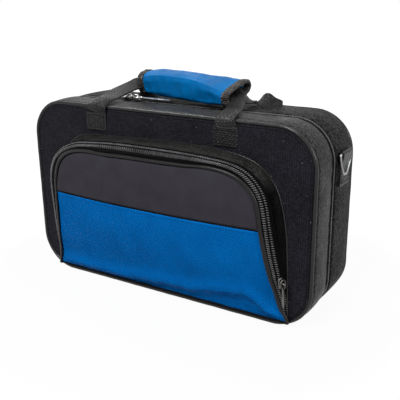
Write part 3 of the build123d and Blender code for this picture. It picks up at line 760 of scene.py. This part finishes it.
# ==== Carry handle ====
sleeve_end = 60.0  # where the bindings begin
binding_end = box_mm("wrap_bindings")[1][0] + 5
wrap_thickness = 3.0
front_split = 232.0  # degrees round the section, from its rear edge over its top
split_gap = 1.5
grip_x = (-60, -40, -20, 0, 20, 40, 60)  # places along the grip, and its section's shape at each
grip_middle_y = (21.3, 19.3, 16.9, 14.2, 11.8, 9.3, 7.3)
grip_middle_z = (231.9, 231.9, 231.5, 231.3, 230.8, 230.2, 229.2)
grip_half_width = (12.6, 14.5, 16.9, 19.4, 21.8, 24.3, 26.4)
grip_half_height = (11.4, 13.6, 14.2, 14.0, 13.2, 11.4, 8.2)
grip_tilt = (14, 10, 6.2, 5.6, 6.3, 9, 12.5)  # degrees
along_sleeve = np.sin(np.linspace(-math.pi / 2, math.pi / 2, 70))[:, None]  # from -1 to 1, closer at the ends


def grip_shape(x):
    """The grip's section: middle, half width, half height and tilt. It is pressed flat at the right."""
    values = (grip_middle_y, grip_middle_z, grip_half_width, grip_half_height, np.radians(grip_tilt))
    return tuple(smooth_through(x, grip_x, value) for value in values)


def grip_local(x, along, above):
    """Points from places in the grip's section: along its width, rear positive, and above its middle."""
    middle_y, middle_z, _, _, tilt = grip_shape(x)
    y = middle_y + along * np.cos(tilt) - above * np.sin(tilt)
    return stack(x, y, middle_z + along * np.sin(tilt) + above * np.cos(tilt))


def grip_point(x, degrees, grow):
    """Points on the grip's surface, grown by an amount. Its rear edge stays at the flap's hinge."""
    _, _, half_width, half_height, _ = grip_shape(x)
    from_rear = np.mod(degrees + 180, 360) - 180
    degrees = degrees - 11 * np.abs(x / grip_x[-1]) ** 3 * bell(from_rear, 0, 40)

    def section(turn):
        power = np.where(np.cos(turn) < 0, 0.52, 0.75)  # the front is squarer than the rear
        return half_width * squared(np.cos(turn), power), half_height * squared(np.sin(turn), power)

    turn = np.radians(degrees)
    along, above = section(turn)
    next_along, next_above = section(turn + 0.02)
    last_along, last_above = section(turn - 0.02)
    out = unit(stack(next_above - last_above, last_along - next_along))
    return grip_local(x, along + grow * out[..., 0], above + grow * out[..., 1])


def padded_sleeve(name, turn_from, turn_to, seed):
    """A padded length of the wrap, between its long edges, dented where the hand has pressed it."""
    turn = np.linspace(turn_from, turn_to, 56)
    x = sleeve_end * along_sleeve
    from_edge = np.minimum(turn - turn_from, turn_to - turn) * 0.35
    from_end = sleeve_end - np.abs(x)
    full = (1 - 0.8 * np.exp(-from_end / 4)) * (1 - 0.8 * np.exp(-from_edge / 1.5))
    creases = 0.9 * ripple(seed, x, turn * 0.3, 40) + 0.45 * ripple(seed + 2, x * 0.6, turn * 0.3, 14)
    gathers = 0.3 * ripple(seed + 4, turn * 0.35, 0 * x, 7) * np.exp(-from_end / 7)
    ridge = 0.8 * bell(turn, 136, 7)
    dents = 1.3 * ripple(seed + 6, x, turn * 0.5, 22) * bell(turn, 186, 26)
    swell = 0.6 * full + (creases * 0.7 + ridge + dents) * full + gathers - 1.0 * np.exp(-from_edge / 0.8)
    outer = grip_point(x, turn, swell)
    inner = grip_point(x, turn[::-1], -wrap_thickness)
    return rod(name, np.concatenate([outer, inner], 1))


def binding_edge(name, side, turn_from, turn_to):
    """Ribbed tape folded over the end of the wrap."""
    turn = column(turn_from, turn_to, 60)
    past = np.array((-0.5, 0.3, 1.6, 4.5, 7.0, 8.2, 8.5, 8.0, 5.0, 1.0)) * (binding_end - sleeve_end) / 8.5
    grow = np.array((-0.4, 0.9, 1.2, 1.1, 0.9, 0.0, -1.5, -2.8, -3.5, -3.4))
    grow = grow + 0.35 * ripple(71 + side, turn * 0.35, past, 9)
    return rod(name, grip_point(side * (sleeve_end + past), turn, grow))


def inner_pad(name, above, seed):
    """A foam pad inside the wrap, above or below the straps."""
    turns = circle(28)
    reach = sleeve_end - 1
    x = reach * np.sin(np.linspace(-math.pi / 2, math.pi / 2, 30))[:, None]
    _, _, half_width, half_height, _ = grip_shape(x)
    round_end = np.clip((reach - np.abs(x)) / 5, 0.25, 1) ** 0.5
    thick = 0.22 * half_height * round_end + 0.15 * ripple(seed, x, turns * 12, 18)
    along = (half_width - 6) * round_end * squared(np.cos(turns), 0.6)
    over = above * half_height + thick * squared(np.sin(turns), 0.6)
    return rod(name, grip_local(x, along, over))


def fastener_strip(name, above):
    """A strip of hook or loop tape inside the wrap's front edge."""
    x = column(-50, 50, 40)
    _, _, half_width, half_height, _ = grip_shape(x)
    along = np.array((-1.6, -1.6, 0, 1.6, 1.6, 0)) + 6.0 - half_width
    over = above * half_height + 1.4 * np.array((-0.5, 0.5, 0.6, 0.5, -0.5, -0.5))
    return rod(name, grip_local(x, along, over))


def build_handle():
    """The padded wrap round both strap loops, its flap, the bindings on its ends and what is inside."""
    parts = (
        ("wrap", "carry_handle", "handle_wrap", front_split + split_gap - 360, -split_gap, 61),
        ("flap", "wrap_flap", "wrap_flap", 0, front_split, 67),
    )
    for part, body, solid, turn_from, turn_to, seed in parts:
        sleeve = dress(padded_sleeve(f"grip_{part}", turn_from, turn_to, seed), "blue_satin", body, solid)
    for side, hand in ((1, "right"), (-1, "left")):
        for part, body, _, turn_from, turn_to, _ in parts:
            edge = binding_edge(f"grip_{part}_binding_{hand}", side, turn_from, turn_to)
            dress(edge, "binding", body, "wrap_bindings" if part == "wrap" else "flap_bindings")
    lower = dress(inner_pad("grip_lower_pad", -0.48, 73), "foam", "carry_handle", "handle_pad")
    upper = dress(inner_pad("grip_upper_pad", 0.48, 79), "foam", "wrap_flap", "flap_pad")
    dress(fastener_strip("grip_hook_strip", -0.12), "hook_and_loop", "carry_handle", "hook_patch")
    dress(fastener_strip("grip_loop_strip", 0.16), "hook_and_loop", "wrap_flap", "loop_patch")


build_handle()


# ==== Straps ====
strap_x = 83.5
strap_width = 28.0
loop_start_z = box_mm("front_strap_anchors")[1][2]
ribbon_section = (
    (-1, 0), (-0.97, 1.3), (-0.9, 1.5), (-0.6, 0.8), (-0.2, 0.7), (0.2, 0.7), (0.6, 0.8), (0.9, 1.5),
    (0.97, 1.3), (1, 0), (0.97, -0.8), (0.6, -1), (0.2, -1), (-0.2, -1), (-0.6, -1), (-0.97, -0.8),
)  # share of its half width, share of its half thickness


def ribbon(name, stations, thickness=1.5, step=2.0):
    """A flat strap through stations: x, y, z, the direction of its width, its width, and how far its middle
    bows out where it does."""
    rows = np.array([(*station, 0)[:8] for station in stations], float)
    run = lengths(rows[:, :3])
    at = np.linspace(0, run[-1], int(run[-1] / step))
    centre = smooth_rows(at, run, rows[:, :3])
    across = smooth_rows(at, run, unit(rows[:, 3:6]))
    half, bow = smooth_through(at, run, rows[:, 6])[:, None] / 2, smooth_through(at, run, rows[:, 7])[:, None]
    ahead = unit(np.gradient(centre, axis=0))
    across = unit(across - ahead * np.sum(across * ahead, -1, keepdims=True))
    face = np.cross(ahead, across)
    profile, height = np.array(ribbon_section).T
    height = height * thickness / 2 + bow * (1 - np.abs(profile) ** 1.4)
    points = centre[:, None] + across[:, None] * (half * profile)[..., None]
    return rod(name, points + face[:, None] * height[..., None], sharp=50)


def inside_grip(above):
    """Stations of a strap loop inside the grip, from the left to the right."""
    stations = []
    for x in (-54, -36, -18, 0, 18, 36, 54):
        _, _, half_width, _, tilt = grip_shape(x)
        width = min(27, 2 * half_width - 8)
        place = grip_local(x, width / 2 + 4 - half_width, above)
        stations.append((*place, 0, -math.cos(tilt), -math.sin(tilt), width))
    return stations


def rear_loop():
    """The rear loop. Its right leg is slack: it drops from the grip and folds over at the rear edge."""
    sewn_y = rear_y + 1.5
    left = [
        (-65, 22, 231.0, 0, -1, -0.2, 19),
        (-73, 29, 226, -0.5, -0.8, -0.1, 22),
        (-79, 38, 220.5, -0.85, -0.5, 0, 26),
        (-83, 48, 216.5, -1, -0.1, 0, 28),
        (-83.5, sewn_y + 0.3, 211.5, -1, 0, 0, strap_width),
        (-83.5, sewn_y, loop_start_z, -1, 0, 0, strap_width),
    ]
    right = [
        (65, 7, 227.5, 0, -0.97, -0.25, 26),
        (73, 16, 222, 0.3, -0.9, -0.1, 22),
        (80, 23.5, 217.8, 0.5, -0.8, 0.25, 16),
        (85.5, 24.5, 219, 0.1, -0.75, -0.5, 17),
        (90.2, 25.5, 219.6, -0.09, -0.57, -0.82, 18),
        (97.5, 33, 216.6, 0, -0.7, -0.7, 13),
        (103.0, 38, 214.8, 0.1, -0.5, -0.85, 8.5),
        (101.0, 43, 213.0, 0.3, -0.5, -0.8, 8),
        (93, 47.5, 212.6, 0.8, -0.3, -0.4, 14),
        (86.5, sewn_y + 0.3, 211.6, 0.95, 0, -0.3, 23),
        (83.6, sewn_y + 0.2, 209, 1, 0, -0.1, 27.5),
        (83.5, sewn_y, loop_start_z, 1, 0, 0, strap_width),
    ]
    return left[::-1] + inside_grip(-1.1) + right


def front_loop():
    """The front loop. Both legs turn from the grip over the front edge."""
    sewn_y = front_y - 1.5
    left = [
        (-65, 18, 231.5, 0, -0.9, -0.4, 18),
        (-71, 5, 228.5, 0.3, -0.85, -0.45, 18),
        (-77.5, -14, 223.4, 0.6, -0.72, -0.36, 19.5),
        (-79, -34, 218.4, 0.93, -0.35, -0.1, 24.5, -1.5),
        (-80.6, -45.8, 214.8, 1, -0.04, 0, 24.5, -5.6),
        (-81, sewn_y - 0.8, 210.8, 1, 0, 0, 25.5, -3.8),
        (-82, sewn_y - 0.4, 208, 1, 0, 0, 27, -1.0),
        (-83.2, sewn_y, loop_start_z, 1, 0, 0, strap_width),
    ]
    right = [
        (64, 0.5, 226.6, 0, -0.97, -0.25, 25),
        (71.5, -7.5, 223.4, -0.3, -0.93, -0.2, 19),
        (77.4, -20, 218.6, -0.75, -0.65, -0.05, 17.5),
        (81.6, -34, 217.4, -1, -0.15, 0, 19, 1.6),
        (82.6, -46, 215.2, -1, 0, 0, 20.5, 4.0),
        (82.8, sewn_y - 0.8, 211.4, -1, 0, 0, 22, 3.2),
        (83.4, sewn_y - 0.4, 208, -1, 0, 0, 24, 0.8),
        (83.5, sewn_y, loop_start_z, -1, 0, 0, strap_width),
    ]
    return left[::-1] + inside_grip(1.1) + right


def sewn_patch(name, side, y, z_from, z_to):
    """A length of strap sewn flat on a panel."""
    stations = [(side * strap_x, y, z, 1, 0, 0, strap_width) for z in np.linspace(z_from, z_to, 6)]
    return ribbon(name, stations, step=4)


def box_stitch(name, side, y, z_from, z_to):
    """Stitches in a box with a cross, where a strap is sewn down."""
    half = strap_width / 2 - 3
    left, right = side * strap_x - half, side * strap_x + half
    box = ((left, z_from), (right, z_from), (right, z_to), (left, z_to), (left, z_from), (right, z_to))
    x, z = seam_run((*box, (left, z_to), (right, z_from)))
    return stitches(name, stack(x, y, z), 0.3)


def build_straps():
    """Both strap loops and their patches."""
    rear = dress(ribbon("rear_strap_loop", rear_loop()), "webbing", None, "rear_loop_strap")
    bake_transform(rear)
    front = dress(ribbon("front_strap_loop", front_loop()), "webbing", None, "front_loop_strap")
    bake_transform(front)
    for prefix, body, face_y, facing in (("front", "lid", front_y, -1), ("rear", "rear_half", rear_y, 1)):
        z_from = box_mm(f"{prefix}_strap_anchors")[0][2]
        sewn_y = face_y + facing * 1.5
        top = loop_start_z - 3
        for side, hand in ((1, "right"), (-1, "left")):
            patch = sewn_patch(f"{prefix}_strap_patch_{hand}", side, sewn_y, z_from, loop_start_z)
            dress(patch, "webbing", body, f"{prefix}_strap_anchors")
            name, low_z = f"{prefix}_strap_seam_{hand}", max(z_from + 3, top - 24)
            dress(box_stitch(name, side, sewn_y + facing * 0.75, low_z, top), "thread", body, slot="webbing")


build_straps()


# ==== D-rings and their tabs ====
ring_z = 176.0
ring_y = 17.5
ring_half_width = 16.5
ring_drop = 24.0
ring_x = case_half_width + 2.9
tab_bottom = box_mm("ring_tab_right")[0][2]


def ring_wire(name, side):
    """A D-shaped ring of wire: a straight bar on top and a bow that narrows downwards."""
    half, low = ring_half_width, 1.4 - ring_drop
    corners = [(-half, 0), (half, 0), (half * 0.8, -10), (half * 0.26, low), (-half * 0.26, low)]
    corners = np.array([*corners, (-half * 0.8, -10)], float)
    line = []
    for k, cut in enumerate((2.0, 2.0, 7.0, 4.0, 4.0, 7.0)):
        here = corners[k]
        start, end = (here + unit(other - here) * cut for other in (corners[k - 1], corners[(k + 1) % 6]))
        t = column(0, 1, 9)
        line.append((1 - t) ** 2 * start + 2 * t * (1 - t) * here + t * t * end)
    line = np.concatenate(line)
    ahead = unit(np.roll(line, -1, 0) - np.roll(line, 1, 0))
    turns = circle(12)
    y = ring_y + line[:, :1] + 1.45 * np.cos(turns) * ahead[:, 1:]
    z = ring_z + line[:, 1:] - 1.45 * np.cos(turns) * ahead[:, :1]
    return grid(name, stack(side * (ring_x + 1.3 * np.sin(turns)), y, z), around=True, tube=True)


def ring_tab(name, side):
    """A strap folded over the ring's bar and sewn down below it."""
    wall = case_half_width + 0.9
    fold = 2.1
    turns = np.radians(np.linspace(-10, 190, 9))
    line = [(wall + 1.4, tab_bottom), (wall + 1.4, tab_bottom + 10), (wall + 1.6, ring_z - 14)]
    line += [(ring_x + 1.3, ring_z - 6)]
    line += [(ring_x + fold * math.cos(t), ring_z + fold * math.sin(t)) for t in turns]
    line += [(wall + 0.6, ring_z - 6), (wall, ring_z - 13), (wall, tab_bottom + 8), (wall, tab_bottom + 1)]
    stations = [(side * x, ring_y, z, 0, 1, 0, 25.5) for x, z in line]
    return ribbon(name, stations, thickness=1.3, step=1.0)


def build_rings():
    """A ring and its tab on each end of the case."""
    for side, hand in ((1, "right"), (-1, "left")):
        dress(ring_wire(f"ring_{hand}", side), "ring_metal", f"d_ring_{hand}", f"d_ring_{hand}")
        dress(ring_tab(f"ring_strap_{hand}", side), "webbing", "rear_half", f"ring_tab_{hand}")
        near, far, low, top = ring_y - 10.5, ring_y + 10.5, tab_bottom + 3, tab_bottom + 14
        box = ((near, low), (far, low), (far, top), (near, top), (near, low), (far, top))
        line = stack(side * (case_half_width + 3.15), *seam_run(box))
        dress(stitches(f"ring_seam_{hand}", line, 0.3), "thread", "rear_half", slot="webbing")


build_rings()


# ==== Sliders and pulls ====
def placed(points, origin, ahead, up):
    """Points given ahead of, beside and above a seat, in the case's frame."""
    ahead, up = unit(np.array(ahead, float)), unit(np.array(up, float))
    beside = np.cross(up, ahead)
    forward, sideways, upward = (points[..., k : k + 1] for k in range(3))
    return np.array(origin, float) + forward * ahead + sideways * beside + upward * up


def shaped_bar(name, stations, *seat):
    """A bar whose section changes along it: (ahead, half width, half height, middle height)."""
    fine = np.linspace(0, len(stations) - 1, (len(stations) - 1) * 4 + 1)
    rows = smooth_rows(fine, np.arange(len(stations)), np.array(stations, float))
    turns = circle(14)
    beside = np.maximum(rows[:, 1:2], 0.05) * squared(np.cos(turns), 0.6)
    above = rows[:, 3:] + np.maximum(rows[:, 2:3], 0.05) * squared(np.sin(turns), 0.6)
    return rod(name, placed(stack(rows[:, :1], beside, above), *seat), sharp=40)


def slider(name, foot, *seat):
    """A zip slider's body and its pull's bridge, whose free foot stands ahead (1) or behind (-1)."""
    body = (
        (-6, 2.0, 0.8, 1.4), (-4.5, 2.9, 1.2, 1.4), (0, 3.6, 1.4, 1.5), (3.5, 4.1, 1.4, 1.5),
        (5.4, 3.8, 1.2, 1.4), (6, 3.2, 0.7, 1.3),
    )
    bridge = np.array(((5.4, 2.0), (5.9, 4.6), (4.2, 6.2), (2.0, 6.6), (-0.2, 5.8), (-0.8, 2.4))) * (foot, 1)
    line = smooth_rows(np.linspace(0, 5, 26), np.arange(6), bridge)
    heading = unit(np.gradient(line, axis=0))
    turns = circle(10)
    off = 0.6 * np.sin(turns)
    arch = stack(line[:, :1] - heading[:, 1:] * off, 1.6 * np.cos(turns), line[:, 1:] + heading[:, :1] * off)
    arch = rod(f"{name}_bridge", placed(arch, *seat))
    return shaped_bar(f"{name}_body", body, *seat), arch


def pull(name, length, half_width, *seat):
    """A pull: an eye, a slim neck and a leaf-shaped tab with a ridge round it."""
    round_it, turns = circle(36)[:, None], circle(10)
    out = 3.5 + 0.95 * np.cos(turns)
    eye = placed(stack(out * np.cos(round_it), out * np.sin(round_it), 0.62 * np.sin(turns)), *seat)
    tab = (
        (3.6, 1.5, 0.55, 0), (6, 1.3, 0.55, 0), (9, 1.7, 0.6, 0), (12, half_width * 0.9, 0.65, 0),
        (length * 0.6, half_width, 0.7, 0), (length * 0.85, half_width * 0.95, 0.7, 0),
        (length - 1, half_width * 0.6, 0.6, 0), (length, half_width * 0.25, 0.35, 0),
    )
    return grid(f"{name}_eye", eye, around=True, tube=True), shaped_bar(f"{name}_tab", tab, *seat)


def build_hardware():
    """Sliders and pulls of both zips."""
    up = (0, 0, 1)
    for hand, ahead, heading, length, half_width in (
        ("left", (-1, 0, 0), (-0.43, -0.9, 0), 29.5, 3.6),
        ("right", (1, 0, 0), (1, 0, 0), 45.5, 2.9),
    ):
        low, high = box_mm(f"main_slider_{hand}")
        x, y, _ = (low + high) / 2
        made = slider(f"zip_slider_{hand}", -1, (x, y, low[2]), ahead, up)
        for piece, metal in zip(made, ("dark_metal", "slider_metal")):
            dress(piece, metal, f"main_slider_{hand}", f"main_slider_{hand}", "slider_metal")
        eye_z = sum(corner[2] for corner in box_mm(f"main_pull_{hand}")) / 2
        for piece in pull(f"zip_pull_{hand}", length, half_width, (x, y, eye_z), heading, up):
            dress(piece, "slider_metal", f"main_pull_{hand}", f"main_pull_{hand}")
    rise = unit(np.array((-0.12, -0.19, 0.974)))
    outward = np.array((1, -0.35, 0))
    outward = unit(outward - rise * np.dot(outward, rise))
    seat = np.array((pocket_half_width - 4.4, front_y - 10.8, 55.0))
    for piece in slider("pocket_zip_slider", 1, seat, -rise, outward):
        dress(piece, "dark_metal", "pocket_slider", "pocket_slider", "slider_metal")
    for piece in pull("pocket_zip_pull", 26.5, 1.7, seat + outward * 3.9, (0.05, 0, -1), outward):
        dress(piece, "dark_metal", "pocket_pull", "pocket_pull", "slider_metal")


build_hardware()


# ==== Inside ====
recesses = (
    (-170, 112, 142, 198, 38, 24), (122, 158, 130, 190, 36, 12), (-170, 82, 82, 132, 34, 20),
    (90, 172, 14, 120, 43, 30), (-170, -20, 13, 73, 40, 26), (-10, 82, 16, 70, 34, 20),
)  # x from, x to, z from, z to, depth, corner radius


def recess_depth(x, z):
    """Depth of the tray's recesses, with sloped, rounded walls."""
    depth = np.zeros_like(x)
    for x_from, x_to, z_from, z_to, deep, radius in recesses:
        from_x = np.abs(x - (x_from + x_to) / 2) - (x_to - x_from) / 2 + radius
        from_z = np.abs(z - (z_from + z_to) / 2) - (z_to - z_from) / 2 + radius
        outside = np.hypot(np.maximum(from_x, 0), np.maximum(from_z, 0))
        outside = outside + np.minimum(np.maximum(from_x, from_z), 0)
        inside = clamp((radius - outside + 0.5) / 6.5)
        depth = np.maximum(depth, deep * inside * inside * (3 - 2 * inside))
    return depth


def plush_tray():
    """The plush tray, hollowed for the clarinet's parts."""
    low, high = box_mm("instrument_tray")
    corner = corner_radius + high[2] - case_top
    z = column(low[2], high[2], 108)
    reach = clamp(np.maximum(low[2] + corner - z, z - high[2] + corner) / corner)
    half = high[0] - corner + corner * np.sqrt(np.maximum(1 - reach**2, 0))
    across = np.linspace(-1, 1, 190)
    x, z = np.broadcast_arrays(half * across, z)
    edge = np.minimum(half * (1 - np.abs(across)), np.minimum(z - low[2], high[2] - z))
    hollow = np.minimum(recess_depth(x, z), high[1] - low[1] - 4)
    y = low[1] + hollow + 1.8 * np.exp(-np.maximum(edge, 0) / 1.2) + 0.25 * ripple(83, x, z, 30)
    return grid("plush_tray", stack(x, y, z), flat=(0, 2))


def lid_lining():
    """The lid's plush lining, down its walls and over its board."""
    low, high = box_mm("lid_lining")
    insets = np.array((0, 0.6, 1.3, 1.4, 1.5, 1.9, 3, 6, 10, 18)) + case_half_width - high[0]
    insets = np.append(insets, 40)
    floor_y = low[1] + 1.3
    depths = (high[1], high[1] + 0.1, -7.5, -12, floor_y + 6, floor_y + 2.2, floor_y + 0.7) + (floor_y,) * 4
    points, inside = ringed_points(insets, np.array(depths))
    uneven = 0.5 * ripple(89, points[..., 0], points[..., 2], 60)
    points[..., 1] += uneven * clamp((inside - insets[0] - 4) / 20)
    return grid("lid_plush_lining", points, around=True)


def pocket_lining():
    """The lining on the inner face of the pocket's flap."""
    z = column(7.5, 165, 50)
    x = np.minimum(panel_sides(z)[1] - 3, np.interp(z, (100, 140, 158, 166), (128, 116, 98, 55)))
    x = x * np.linspace(-1, 1, 50)
    behind = pocket_depth(x, z) - 3.4 - 0.3 * ripple(97, x, z, 40)
    return grid("pocket_face_lining", stack(x, front_y - np.maximum(behind, 0.4), z), flat=(0, 2))


def build_inside():
    """The tray, the lid's lining, the pocket's lining and the cloth hinge."""
    dress(plush_tray(), "plush", "rear_half", "instrument_tray")
    dress(lid_lining(), "plush", "lid", "lid_lining")
    dress(pocket_lining(), "pocket_lining", "pocket_flap", "pocket_flap_lining")
    low, high = box_mm("hinge_strip")
    x = column(low[0], high[0], 90)
    y = np.linspace(low[1] - 1.0, high[1] + 1.0, 14)
    strip = grid("cloth_hinge", stack(x, y, 0.7 + 0.25 * ripple(101, x, y * 4, 16)))
    dress(strip, "pocket_lining", None, "hinge_strip", "gusset_cloth")
    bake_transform(strip)


build_inside()


# ==== Carried-over solids ====
def colour_solids():
    """Give each solid that still shows a material of its own."""
    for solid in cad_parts.values():
        if not solid.hide_render:
            solid.data.materials.clear()
            solid.data.materials.append(materials["board"])


colour_solids()


# ==== Camera, light and floor ====
def place_camera():
    """The photograph's view: from the front right and a little above."""
    azimuth, elevation, roll = math.radians(32.0), math.radians(18.2), math.radians(-0.64)
    target, distance = Vector((0.02107, 0.0, 0.1031)), 0.7447
    flat = math.cos(elevation)
    back = Vector((math.sin(azimuth) * flat, -math.cos(azimuth) * flat, math.sin(elevation)))
    right = Vector((math.cos(azimuth), math.sin(azimuth), 0))
    up = back.cross(right)
    turned_right = right * math.cos(roll) + up * math.sin(roll)
    turned_up = up * math.cos(roll) - right * math.sin(roll)
    data = bpy.data.cameras.new("camera")
    data.sensor_fit = "HORIZONTAL"
    data.sensor_width = 36
    data.lens = 645.4 / 400 * 36  # the fitted focal length, in pixels of the 400 across the photograph
    camera = bpy.data.objects.new("camera", data)
    axes = Matrix((turned_right, turned_up, back)).transposed().to_4x4()
    camera.matrix_world = Matrix.Translation(target + back * distance) @ axes
    bpy.context.scene.collection.objects.link(camera)
    bpy.context.scene.camera = camera


def softbox(name, place, aim, size, power):
    """A square area light."""
    data = bpy.data.lights.new(name, "AREA")
    data.size = size
    data.energy = power
    lamp = bpy.data.objects.new(name, data)
    lamp.location = place
    lamp.rotation_euler = (Vector(place) - Vector(aim)).to_track_quat("Z", "Y").to_euler()
    bpy.context.scene.collection.objects.link(lamp)


def seen_directly(tree):
    """1 for rays from the camera and for those that metal and glass send, and 0 for light."""
    path = node(tree, "ShaderNodeLightPath")
    seen = path.outputs["Is Camera Ray"]
    for other in ("Is Glossy Ray", "Is Transmission Ray"):
        seen = maths(tree, "MAXIMUM", seen, path.outputs[other])
    return seen


def light_studio():
    """Soft boxes over a white floor. The world is white to the camera and dim as a light."""
    aim = (0, 0, 0.1)
    softbox("key_top", (0.35, 0.3, 1.5), aim, 0.4, 3.5)
    softbox("rim_left", (-0.85, 0.4, 1.35), aim, 0.2, 7)
    softbox("right_side", (1.7, -0.3, 0.8), aim, 0.5, 12)
    softbox("front_high", (-0.1, -1.35, 1.5), aim, 0.6, 28)
    world = bpy.data.worlds.new("world")
    world.use_nodes = True
    tree = world.node_tree
    background = tree.nodes["Background"]
    background.inputs["Color"].default_value = (1, 1, 1, 1)
    tree.links.new(spread(tree, seen_directly(tree), 0, 1, 0.15, 1.0), background.inputs["Strength"])
    bpy.context.scene.world = world


def make_floor():
    """A white floor that keeps a faint shadow of the case near it."""
    reach = 6.0 / MM
    points = [(-reach, -reach, 0), (reach, -reach, 0), (reach, reach, 0), (-reach, reach, 0)]
    floor = mesh_object("floor", points, [[0, 1, 2, 3]])
    floor.location.z = -0.0003
    tree, shader, _, place = new_material("floor", 0.9, Base_Color=(0.25, 0.25, 0.25, 1))
    far = node(tree, "ShaderNodeVectorMath", {0: place}, operation="LENGTH").outputs["Value"]
    share = maths(tree, "MULTIPLY", spread(tree, far, 0.25, 0.45, 0.88, 1.0), seen_directly(tree))
    glow = node(tree, "ShaderNodeEmission", {"Color": (1, 1, 1, 1), "Strength": 1.08})
    both = node(tree, "ShaderNodeMixShader", {0: share, 1: shader.outputs[0], 2: glow.outputs[0]})
    tree.links.new(both.outputs[0], tree.nodes["Material Output"].inputs["Surface"])
    floor.data.materials.append(materials["floor"])


place_camera()
light_studio()
make_floor()
bpy.context.scene.view_settings.view_transform = "Standard"
